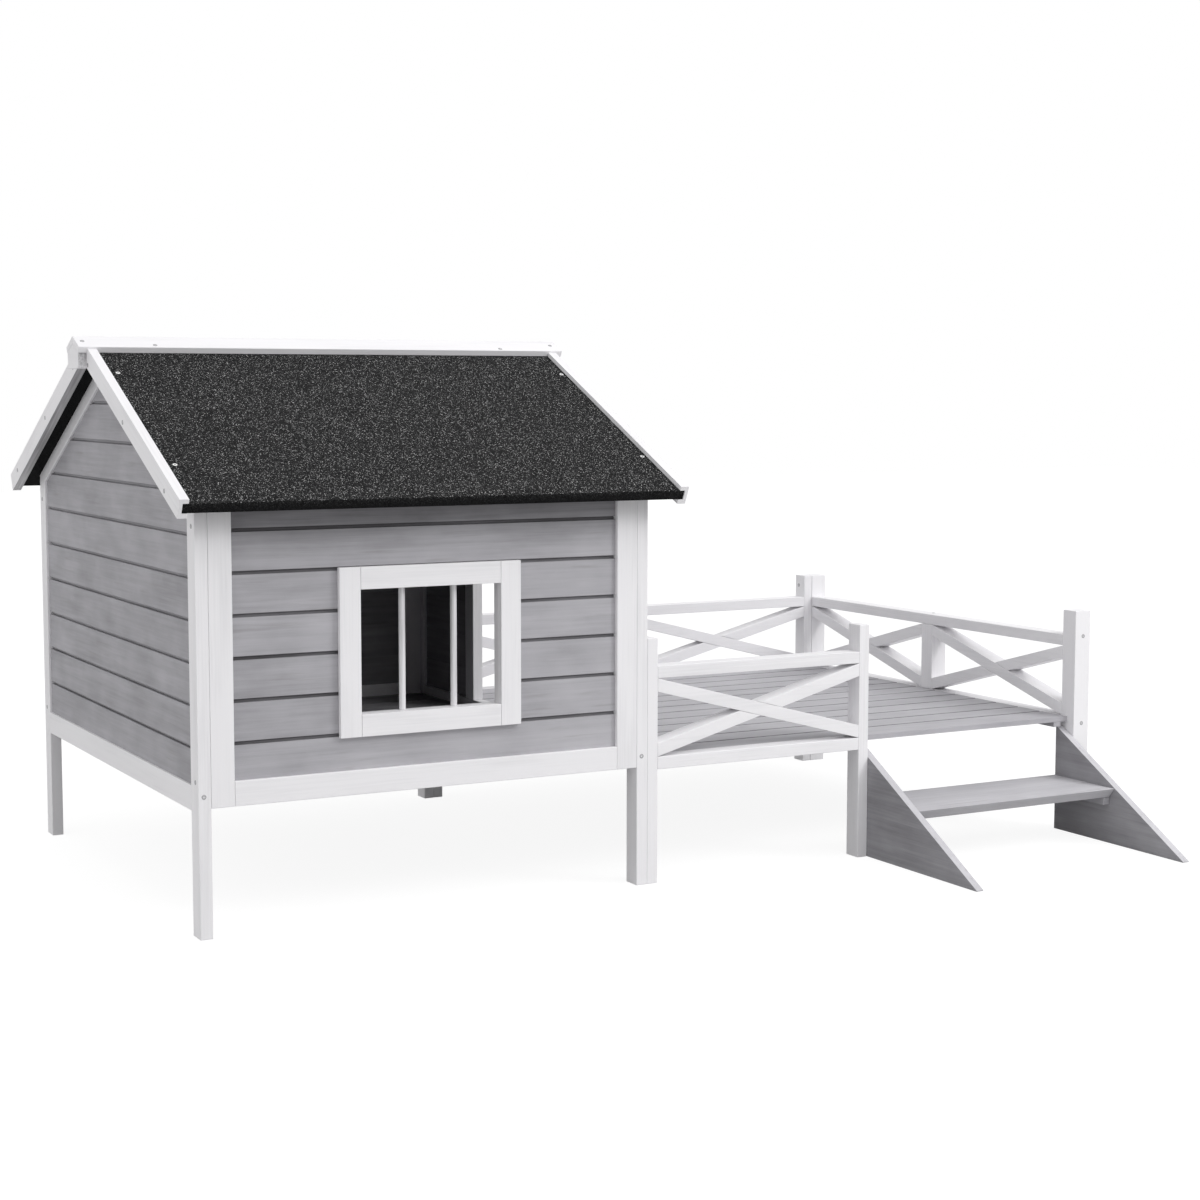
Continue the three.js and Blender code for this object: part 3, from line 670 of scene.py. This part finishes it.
UPRIGHTS = [
    "leg_front_left",
    "leg_front_right",
    "leg_back_left",
    "leg_back_right",
    "front_stile_left",
    "front_stile_right",
    "porch_post_front_house",
    "porch_post_front_middle",
    "porch_post_front_end",
    "porch_post_back_house",
    "porch_post_back_panel",
    "porch_post_back_end",
    "back_middle_post",
    "end_middle_post",
]
RAILS = [
    "front_bottom_rail",
    "left_bottom_rail",
    "right_bottom_rail",
    "front_top_rail",
    "front_lower_rail",
    "back_top_rail",
    "back_lower_rail",
    "end_top_rail",
    "end_lower_rail",
]
GREY_TIMBERS = [
    "deck_bearer_left",
    "deck_bearer_middle",
    "deck_bearer_right",
    "tread_cleat_left",
    "tread_cleat_right",
]
STRINGERS = ["stringer_left", "stringer_right"]


def slants_to_front_or_back(normal):
    along_y = abs(normal.y) > CLEARLY_SLANTED
    along_z = abs(normal.z) > CLEARLY_SLANTED
    return abs(normal.x) < NEXT_TO_NOTHING and along_y and along_z


def add_plain_timbers():
    for node in UPRIGHTS + RAILS:
        add_timber(node)
    for node in GREY_TIMBERS:
        add_timber(node, "grey_stain")
    edge_shade = STRINGER_LIGHTNESS - SAWN_EDGE_LIGHTNESS
    for node in STRINGERS:
        add_timber(
            node,
            "grey_stain",
            lightness=STRINGER_LIGHTNESS,
            is_shaded=slants_to_front_or_back,
            shade=edge_shade,
        )
    add_timber("stair_tread", "grey_stain", lightness=TREAD_LIGHTNESS)


# ---- Tongued boards --------------------------------------------------------------------------


def board_section(thickness, low, high, flipped, groove_depth=GROOVE_DEPTH):
    """Section of a board from one seam to the next, as (depth, level) points. Its high edge has a
    shoulder and a thin tongue, which leave a slit under the next board's lip. Its low edge has
    the groove for such a tongue. If flipped, the tongue points down."""
    shoulder = high + GROOVE_HALF_WIDTH - SLIT_HEIGHT
    slot_end = low + TONGUE_REACH + TONGUE_PLAY
    slot_back = TONGUE_BACK + TONGUE_PLAY
    lip = low + GROOVE_HALF_WIDTH
    ledge = high - GROOVE_HALF_WIDTH
    section = [
        (BOARD_ARRIS, lip),
        (SLIT_DEPTH - TONGUE_PLAY, lip),
        (SLIT_DEPTH - TONGUE_PLAY, slot_end),
        (slot_back, slot_end),
        (slot_back, low + BACK_GAP),
        (thickness, low + BACK_GAP),
        (thickness, high - BACK_GAP),
        (TONGUE_BACK, high - BACK_GAP),
        (TONGUE_BACK, high + TONGUE_REACH),
        (SLIT_DEPTH, high + TONGUE_REACH),
        (SLIT_DEPTH, shoulder),
        (groove_depth, shoulder),
        (groove_depth, ledge),
        (BOARD_ARRIS, ledge),
        (0, ledge - BOARD_ARRIS),
        (0, lip + BOARD_ARRIS),
    ]
    if flipped:
        section = [(depth, low + high - level) for depth, level in section]
    return section


def below_face(axis, face, shade):
    """Paints shade on what lies deeper than the boards' rounded edges, measured from their face."""
    return lambda place: shade if abs(getattr(place, axis) - face) > BOARD_ARRIS / 2 else 0


def seam_levels(start, first_width, end):
    """Levels of the seams of a run of boards, of which the first has a width of its own."""
    levels = []
    level = start + first_width
    while level < end - SEAM_END_MARGIN:
        levels.append(level)
        level += BOARD_PITCH
    return levels


def tongued_boards(
    face, back, start, first_width, end, axis, limits, flipped=False, groove_depth=GROOVE_DEPTH
):
    """A run of boards that lie along an axis, with their seams stacked along Z, as in a wall."""
    bm = bmesh.new()
    inward = 1 if back > face else -1
    seams = seam_levels(start, first_width, end)
    edges = [start - BOARD_PITCH, *seams, end + BOARD_PITCH]
    low, high = inset(limits, -CUT_MARGIN)
    for lower, upper in zip(edges, edges[1:]):
        section = board_section(abs(back - face), lower, upper, flipped, groove_depth)
        outline = [(face + inward * depth, level) for depth, level in section]
        add_prism(bm, outline, axis, low, high)
    return bm


def front_wall_shade(face, x, top):
    """Painted shade and light on the front and back walls: darker in the grooves, under the eave
    and away from the porch."""
    in_groove = below_face("y", face, FRONT_WALL_SHADE)

    def shade_at(place):
        gain = FRONT_WALL_PAINTED_LIGHT * (place.x - sum(x) / 2)
        under_eave = EAVE_SHADE * max(0, 1 - (top - place.z) / EAVE_SHADE_REACH)
        return in_groove(place) - gain + under_eave

    return shade_at


def add_front_walls():
    """The boards of the front wall, cut for the window, and of the back wall."""
    hole = bmesh.new()
    opening_x = inset(span("window_frame", "x"), MEMBER_WIDTH)
    opening_z = inset(span("window_frame", "z"), MEMBER_WIDTH)
    margin = -WINDOW_LINING_THICKNESS - HOLE_CLEARANCE
    wall_y = span("front_boarding", "y")
    add_block(hole, inset(opening_x, margin), inset(wall_y, -CUT_MARGIN), inset(opening_z, margin))
    for node in ("front_boarding", "back_boarding"):
        x, y, z = (span(node, axis) for axis in "xyz")
        face, back = y if node == "front_boarding" else reversed(y)
        depth = roof_depth(back, z[1])
        boards = tongued_boards(
            face,
            back,
            z[0],
            FIRST_WALL_BOARD,
            roof_height(face, depth),
            "x",
            x,
            groove_depth=FRONT_GROOVE_DEPTH,
        )
        front, rear = inset(y, -CUT_MARGIN)
        envelope = bmesh.new()
        outline = [
            (front, z[0]),
            (rear, z[0]),
            (rear, roof_height(rear, depth)),
            (front, roof_height(front, depth)),
        ]
        add_prism(envelope, outline, "x", *x)
        boards = combine(boards, envelope, "INTERSECT")
        if node == "front_boarding":
            boards = combine(boards, hole, "DIFFERENCE")
        add_piece(
            boards,
            f"{node}.boards",
            "grey_stain",
            [node],
            X_AXIS,
            FRONT_WALL_LIGHTNESS,
            front_wall_shade(face, x, z[1]),
        )


def add_gable_walls():
    """The boards of the two gable walls, of which the right one is cut for the doorway."""
    for node in ("left_boarding", "right_boarding"):
        x, y, z = (span(node, axis) for axis in "xyz")
        face, back = x if node == "left_boarding" else reversed(x)
        depth = roof_depth(ridge_y, z[1])
        boards = tongued_boards(
            face, back, z[0], FIRST_WALL_BOARD, z[1], "y", y, flipped=True
        )
        envelope = bmesh.new()
        outline = [
            (y[0], z[0]),
            (y[1], z[0]),
            (y[1], roof_height(y[1], depth)),
            (ridge_y, z[1]),
            (y[0], roof_height(y[0], depth)),
        ]
        add_prism(envelope, outline, "x", *inset(x, -CUT_MARGIN))
        boards = combine(boards, envelope, "INTERSECT")
        if node == "right_boarding":
            hole = bmesh.new()
            door_y = inset(span("doorway_frame", "y"), -HOLE_CLEARANCE)
            door_top = span("doorway_frame", "z")[1] + HOLE_CLEARANCE
            add_block(hole, inset(x, -CUT_MARGIN), door_y, (z[0] - CUT_MARGIN, door_top))
            boards = combine(boards, hole, "DIFFERENCE")
        add_piece(
            boards,
            f"{node}.boards",
            "grey_stain",
            [node],
            Y_AXIS,
            GABLE_WALL_LIGHTNESS,
            below_face("x", face, GABLE_WALL_SHADE),
        )


def flat_boards(x, y, z, first_width):
    """Boards along X that lie flat, a little longer than their final outline."""
    bm = bmesh.new()
    seams = seam_levels(y[0], first_width, y[1])
    edges = [y[0] - BOARD_PITCH, *seams, y[1] + BOARD_PITCH]
    for lower, upper in zip(edges, edges[1:]):
        section = board_section(z[1] - z[0], lower, upper, flipped=False)
        outline = [(level, z[1] - depth) for depth, level in section]
        add_prism(bm, outline, "x", *inset(x, -CUT_MARGIN))
    return bm


def add_cabin_floor():
    x, y, z = (span("cabin_floor", axis) for axis in "xyz")
    envelope = bmesh.new()
    add_block(envelope, x, y, inset(z, -CUT_MARGIN))
    boards = combine(flat_boards(x, y, z, FIRST_WALL_BOARD), envelope, "INTERSECT")
    add_piece(
        boards,
        "cabin_floor.boards",
        "grey_stain",
        ["cabin_floor"],
        X_AXIS,
        FLOOR_LIGHTNESS,
        below_face("z", z[1], FLOOR_SHADE),
    )


def deck_shade(start_x, front_y, top_z):
    """Painted shade on the deck: darker in the grooves and away from the cabin. Its front edge
    doesn't count as a groove."""
    in_groove = below_face("z", top_z, DECK_SHADE)

    def shade_at(place):
        loss = DECK_PAINTED_SHADE_SLOPE * (place.x - start_x)
        on_front_edge = place.y < front_y + BOARD_ARRIS
        return loss + (0 if on_front_edge else in_groove(place))

    return shade_at


def add_deck():
    """The porch's boards. The first one reaches further forward in the step bay."""
    x, y, z = (span("deck", axis) for axis in "xyz")
    behind_panel = span("front_brace", "y")[1] + JOINT
    bay_start = span("porch_post_front_middle", "x")[1] + JOINT
    boards = flat_boards(x, (behind_panel, y[1]), z, FIRST_DECK_BOARD)
    outline = [
        (x[0], behind_panel),
        (bay_start, behind_panel),
        (bay_start, y[0]),
        (x[1], y[0]),
        (x[1], y[1]),
        (x[0], y[1]),
    ]
    envelope = bmesh.new()
    add_prism(envelope, outline, "z", *inset(z, -CUT_MARGIN))
    boards = combine(boards, envelope, "INTERSECT")
    add_piece(
        boards,
        "deck.boards",
        "grey_stain",
        ["deck"],
        X_AXIS,
        DECK_LIGHTNESS,
        deck_shade(x[0], y[0], z[1]),
    )


# ---- Framed openings -------------------------------------------------------------------------


def add_window():
    """Four face boards, four lining boards behind them and two round bars."""
    x, y, z = (span("window_frame", axis) for axis in "xyz")
    opening_x = inset(x, MEMBER_WIDTH)
    opening_z = inset(z, MEMBER_WIDTH)
    face_y = (y[0], y[0] + WINDOW_BOARD_THICKNESS)
    lining_y = (face_y[1] + JOINT, y[1])
    bm = bmesh.new()
    add_block(bm, (x[0], opening_x[0]), face_y, z)
    add_block(bm, (opening_x[1], x[1]), face_y, z)
    between_stiles = inset(opening_x, JOINT)
    add_block(bm, between_stiles, face_y, (z[0], opening_z[0]))
    add_block(bm, between_stiles, face_y, (opening_z[1], z[1]))
    outer_x = inset(opening_x, -WINDOW_LINING_THICKNESS)
    outer_z = inset(opening_z, -WINDOW_LINING_THICKNESS)
    add_block(bm, (outer_x[0], opening_x[0]), lining_y, outer_z)
    add_block(bm, (opening_x[1], outer_x[1]), lining_y, outer_z)
    add_block(bm, between_stiles, lining_y, (outer_z[0], opening_z[0]))
    add_block(bm, between_stiles, lining_y, (opening_z[1], outer_z[1]))
    soften(bm, FINE_ARRIS)
    add_piece(bm, "window_frame.members", "white_paint", ["window_frame"])
    for side in ("left", "right"):
        node = f"window_bar_{side}"
        add_piece(
            node_mesh(node),
            f"{node}.dowel",
            "white_paint",
            [node],
            Z_AXIS,
            lightness=BAR_LIGHTNESS,
            smooth=True,
        )


def add_doorway():
    """Two jambs and the header between them."""
    x, y, z = (span("doorway_frame", axis) for axis in "xyz")
    inner_y = inset(y, MEMBER_WIDTH)
    bm = bmesh.new()
    add_block(bm, x, (y[0], inner_y[0]), z)
    add_block(bm, x, (inner_y[1], y[1]), z)
    add_block(bm, x, inset(inner_y, JOINT), (z[1] - MEMBER_WIDTH, z[1]))
    soften(bm, ARRIS)
    add_piece(bm, "doorway_frame.members", "white_paint", ["doorway_frame"])


def add_back_frame():
    """The back wall's two stiles and the bottom rail between them."""
    x, y, z = (span("back_wall_frame", axis) for axis in "xyz")
    rail_top = span("front_bottom_rail", "z")[1]
    inner_x = inset(x, STILE_WIDTH - JOINT)
    bm = bmesh.new()
    add_block(bm, (x[0], inner_x[0]), y, z)
    add_block(bm, (inner_x[1], x[1]), y, z)
    add_block(bm, inset(inner_x, JOINT), y, (z[0], rail_top))
    soften(bm, ARRIS)
    add_piece(bm, "back_wall_frame.members", "white_paint", ["back_wall_frame"])


# ---- Crossed braces --------------------------------------------------------------------------


def bar_outline(left, right, bottom, top, widening=0.0):
    """A bar that rises from a bay's left post to its right one, with its ends in two corners. It
    falls instead if left and right are exchanged."""
    width = abs(right - left)
    height = top - bottom
    angle = math.atan2(height, width) - math.asin(BRACE_WIDTH / math.hypot(width, height))
    end_height = BRACE_WIDTH / math.cos(angle)
    return [
        (left, bottom - widening),
        (right, top - end_height - widening),
        (right, top + widening),
        (left, bottom + end_height + widening),
    ]


def add_crossed_brace(node, unbroken_rises):
    """Two bars halved into each other. One is unbroken towards the front or the left, and the
    other on the far side."""
    along, across = ("y", "x") if node.startswith("end") else ("x", "y")
    left, right = span(node, along)
    bottom, top = span(node, "z")
    low, high = span(node, across)
    middle = (low + high) / 2
    rise_ends = (left, right)
    fall_ends = (right, left)
    unbroken, other = (rise_ends, fall_ends) if unbroken_rises else (fall_ends, rise_ends)
    bars = bmesh.new()
    layers = (
        (unbroken, other, (middle, high + CUT_MARGIN)),
        (other, unbroken, (low - CUT_MARGIN, middle)),
    )
    for ends, crossing, notch_depth in layers:
        bar = bmesh.new()
        add_prism(bar, bar_outline(*ends, bottom, top), across, low, high)
        notch = bmesh.new()
        add_prism(notch, bar_outline(*crossing, bottom, top, JOINT), across, *notch_depth)
        bar = combine(bar, notch, "DIFFERENCE")
        soften(bar, FINE_ARRIS)
        mesh = bpy.data.meshes.new("bar")
        bar.to_mesh(mesh)
        bar.free()
        bars.from_mesh(mesh)
        bpy.data.meshes.remove(mesh)
    add_piece(bars, f"{node}.bars", "white_paint", [node])


# Whether the bar that rises to the right or to the back is the unbroken one
BRACES = {
    "front_brace": False,
    "back_brace_left": False,
    "back_brace_right": False,
    "end_brace_front": True,
    "end_brace_back": True,
}


def add_braces():
    for node, unbroken_rises in BRACES.items():
        add_crossed_brace(node, unbroken_rises)


# ---- Roof ------------------------------------------------------------------------------------


def felt_shade(place):
    """Painted shade: nothing on the felt's top, and more on its underside than on its edges."""
    depth = roof_depth(place.y, place.z)
    if depth < FELT_ARRIS / 2:
        return 0
    return FELT_UNDERSIDE_SHADE if depth > FELT_UNDERSIDE_DEPTH else FELT_EDGE_SHADE


def looks_down(normal):
    return slants_to_front_or_back(normal) and normal.z < WELL_DOWNWARD


def looks_along_y(normal):
    return abs(normal.y) > NEARLY_WHOLE


def add_roof():
    for side in ("front", "back"):
        slope = FRONT_SLOPE if side == "front" else BACK_SLOPE
        add_timber(f"roof_board_{side}", "grey_stain")
        felt = node_mesh(f"roof_felt_{side}")
        soften(felt, FELT_ARRIS)
        add_piece(
            felt, f"roof_felt_{side}.sheet", "roof_felt", [f"roof_felt_{side}"], shade_at=felt_shade
        )
        for end in ("left", "right"):
            barge = f"barge_board_{side}_{end}"
            # Painted shade under the barge boards
            add_timber(barge, direction=slope, is_shaded=looks_down, shade=UNDERSIDE_SHADE)
    for end in ("left", "right"):
        node = f"{end}_rake_board"
        rake = split_at_ridge(node_mesh(node))
        soften(rake, ARRIS)
        add_piece(rake, f"{node}.pair", "white_paint", [node], slope_at)
        block = f"apex_block_{end}"
        # Painted shade on the apex block's front and back sides
        add_timber(
            block, direction=Y_AXIS, is_shaded=looks_along_y, shade=APEX_BLOCK_SIDE_SHADE
        )
    cap = split_at_ridge(node_mesh("ridge_cap"))
    soften(cap, ARRIS)
    add_piece(cap, "ridge_cap.pair", "white_paint", ["ridge_cap"], X_AXIS)


# ---- Screws ----------------------------------------------------------------------------------


def cross_outline(reach, half_width):
    """An equal-armed cross, as (x, y) points."""
    arm = [(half_width, half_width), (half_width, reach), (-half_width, reach)]
    outline = []
    for _ in range(4):
        outline += arm
        arm = [(-y, x) for x, y in arm]
    return outline


def screw_mesh():
    """A raised head with a cross recess, pointing along Z from its own origin."""
    profile = [
        (SCREW_RADIUS * SCREW_FLAT, SCREW_RISE),
        (SCREW_RADIUS * SCREW_SHOULDER[0], SCREW_RISE * SCREW_SHOULDER[1]),
        (SCREW_RADIUS, 0.0),
        (SCREW_RADIUS, -SCREW_SHANK),
    ]
    turns = [2 * math.pi * index / SCREW_SIDES for index in range(SCREW_SIDES)]
    bm = bmesh.new()
    rings = [
        [bm.verts.new((radius * math.cos(turn), radius * math.sin(turn), z)) for turn in turns]
        for radius, z in profile
    ]
    rim = join_loops(bm, rings[0], rings[1])
    for upper, lower in zip(rings[1:], rings[2:]):
        join_loops(bm, upper, lower)
    bm.faces.new(rings[-1])
    cross = cross_outline(SCREW_RADIUS * RECESS_REACH, SCREW_RADIUS * RECESS_HALF_WIDTH)
    mouth = [bm.verts.new((x, y, SCREW_RISE)) for x, y in cross]
    floor = [bm.verts.new((x, y, -SCREW_RISE)) for x, y in cross]
    recess = join_loops(bm, mouth, floor)
    bm.faces.new(floor)
    bmesh.ops.triangle_fill(bm, edges=rim + recess, use_beauty=True)
    bmesh.ops.recalc_face_normals(bm, faces=bm.faces)
    return bm


def add_screws(name, material, places):
    """One piece of screw heads, at (point, outward direction) pairs, each turned by chance."""
    template = bpy.data.meshes.new("screw")
    head = screw_mesh()
    head.to_mesh(template)
    head.free()
    chance = random.Random(name)
    bm = bmesh.new()
    for point, outward in places:
        turn = Matrix.Rotation(chance.uniform(0, math.pi), 4, "Z")
        aim = outward.to_track_quat("Z", "Y").to_matrix().to_4x4()
        before = len(bm.verts)
        bm.from_mesh(template)
        bm.verts.ensure_lookup_table()
        fresh = bm.verts[before:]
        bmesh.ops.transform(bm, matrix=Matrix.Translation(point) @ aim @ turn, verts=fresh)
    bpy.data.meshes.remove(template)
    add_piece(bm, name, material, direction=Z_AXIS)


def add_all_screws():
    front = -Y_AXIS
    left = -X_AXIS
    right_leg_x = span("leg_front_right", "x")[1] - corner.x
    end_x = span("porch_post_front_end", "x")[1] - corner.x
    leg_columns = (LEFT_LEG_SCREW_X, right_leg_x - RIGHT_LEG_SCREW_INSET)
    leg_front = [(on_house(x, 0, LEG_SCREW_HEIGHT), front) for x in leg_columns]
    left_side = [(on_house(0, y, z), left) for y, z in LEFT_SIDE_SCREWS]
    add_screws("cabin_screws", "painted_screw", leg_front + left_side)
    panel_x = span("porch_post_back_panel", "x")[0] - corner.x
    post_x = end_x - END_POST_SCREW_INSET
    porch = [(on_house(post_x, 0, z), front) for z in END_POST_SCREW_HEIGHTS]
    porch.append((on_house(panel_x, *BACK_PANEL_SCREW), left))
    rail_top = span("end_top_rail", "z")[1]
    rail_x = end_x - END_RAIL_SCREW_INSET
    porch.append((on_house(rail_x, END_RAIL_SCREW_Y, rail_top), Z_AXIS))
    add_screws("porch_screws", "painted_screw", porch)
    felt = [
        (on_front_slope(x, down, 0), FRONT_SLOPE_NORMAL)
        for x in FELT_SCREW_COLUMNS
        for down in FELT_SCREW_ROWS
    ]
    add_screws("felt_screws", "bright_screw", felt)
    cap_top = roof_depth(ridge_y, span("ridge_cap", "z")[1])
    cap = [(on_front_slope(x, down, cap_top), FRONT_SLOPE_NORMAL) for x, down in CAP_SCREWS]
    add_screws("ridge_cap_screws", "painted_screw", cap)
    face_x = span("barge_board_front_left", "x")[0] - corner.x
    barge = [(on_front_slope(face_x, *place), left) for place in FRONT_BARGE_SCREWS]
    for down, depth in BACK_BARGE_SCREWS:
        point = on_front_slope(face_x, down, depth)
        point.y = 2 * ridge_y - point.y
        barge.append((point, left))
    add_screws("barge_screws", "painted_screw", barge)


# ---- Camera, light and floor -----------------------------------------------------------------


def add_camera():
    data = bpy.data.cameras.new("camera")
    data.lens = CAMERA_LENS
    data.sensor_width = CAMERA_SENSOR
    data.shift_x, data.shift_y = CAMERA_SHIFT
    camera = bpy.data.objects.new("camera", data)
    camera.location = CAMERA_PLACE
    camera.rotation_euler = (math.radians(CAMERA_TILT), 0, math.radians(CAMERA_TURN))
    bpy.context.scene.collection.objects.link(camera)
    bpy.context.scene.camera = camera


def add_sun(name, energy, softness, travels):
    data = bpy.data.lights.new(name, "SUN")
    data.energy = energy
    data.angle = math.radians(softness)
    lamp = bpy.data.objects.new(name, data)
    lamp.rotation_euler = Vector(travels).to_track_quat("-Z", "Y").to_euler()
    bpy.context.scene.collection.objects.link(lamp)


def add_key():
    """A soft square lamp to the right of the camera, so the porch is a little brighter."""
    data = bpy.data.lights.new("key", "AREA")
    data.energy = KEY_POWER
    data.size = KEY_SIZE
    lamp = bpy.data.objects.new("key", data)
    away = Vector(KEY_SIDE).normalized()
    lamp.location = Vector(KEY_AIM) + KEY_DISTANCE * away
    lamp.rotation_euler = away.to_track_quat("Z", "Y").to_euler()
    bpy.context.scene.collection.objects.link(lamp)


def seen_directly(tree):
    """1 for rays that show a surface to the camera, straight or in a reflection."""
    path = add_node(tree, "ShaderNodeLightPath").outputs
    either = add_node(
        tree,
        "ShaderNodeMath",
        {0: path["Is Camera Ray"], 1: path["Is Glossy Ray"]},
        operation="MAXIMUM",
    )
    return add_node(
        tree,
        "ShaderNodeMath",
        {0: either.outputs[0], 1: path["Is Transmission Ray"]},
        operation="MAXIMUM",
    ).outputs[0]


def add_world():
    """White to the camera, and a weaker light on the house."""
    world = bpy.data.worlds.new("studio")
    world.use_nodes = True
    tree = world.node_tree
    light = tree.nodes["Background"]
    light.inputs["Color"].default_value = WHITE
    light.inputs["Strength"].default_value = WORLD_STRENGTH
    white = add_node(tree, "ShaderNodeBackground", {"Color": WHITE, "Strength": 1.0})
    mix = add_node(
        tree,
        "ShaderNodeMixShader",
        {0: seen_directly(tree), 1: light.outputs[0], 2: white.outputs[0]},
    )
    tree.links.new(mix.outputs[0], tree.nodes["World Output"].inputs["Surface"])
    bpy.context.scene.world = world


def add_floor():
    """A floor that is white to the camera, but for the shadow, and grey in the light that it
    throws back on the house."""
    bm = bmesh.new()
    sides = (-FLOOR_HALF_SIZE, FLOOR_HALF_SIZE)
    corners = [bm.verts.new((x, y, FLOOR_HEIGHT)) for x, y in rectangle(sides, sides)]
    bm.faces.new(corners)
    mesh = bpy.data.meshes.new("studio_floor")
    bm.to_mesh(mesh)
    bm.free()
    floor = bpy.data.objects.new("studio_floor", mesh)
    bpy.context.scene.collection.objects.link(floor)
    material = bpy.data.materials.new("studio_floor")
    material.use_nodes = True
    tree = material.node_tree
    tree.nodes.remove(tree.nodes["Principled BSDF"])
    bounce = add_node(tree, "ShaderNodeBsdfDiffuse", {"Color": FLOOR_BOUNCE})
    glow = add_node(tree, "ShaderNodeEmission", {"Color": WHITE, "Strength": FLOOR_GLOW})
    shaded = add_node(tree, "ShaderNodeBsdfDiffuse", {"Color": FLOOR_SHADOW})
    bright = add_node(tree, "ShaderNodeAddShader", {0: glow.outputs[0], 1: shaded.outputs[0]})
    mix = add_node(
        tree,
        "ShaderNodeMixShader",
        {0: seen_directly(tree), 1: bounce.outputs[0], 2: bright.outputs[0]},
    )
    tree.links.new(mix.outputs[0], tree.nodes["Material Output"].inputs["Surface"])
    mesh.materials.append(material)


# ---- The whole scene -------------------------------------------------------------------------

add_plain_timbers()
add_front_walls()
add_gable_walls()
add_cabin_floor()
add_deck()
add_window()
add_doorway()
add_back_frame()
add_braces()
add_roof()
add_all_screws()

add_camera()
add_world()
add_key()
add_sun("overhead", *OVERHEAD_SUN)
add_sun("fill", *FILL_SUN)
add_floor()
bpy.context.scene.view_settings.view_transform = "Standard"
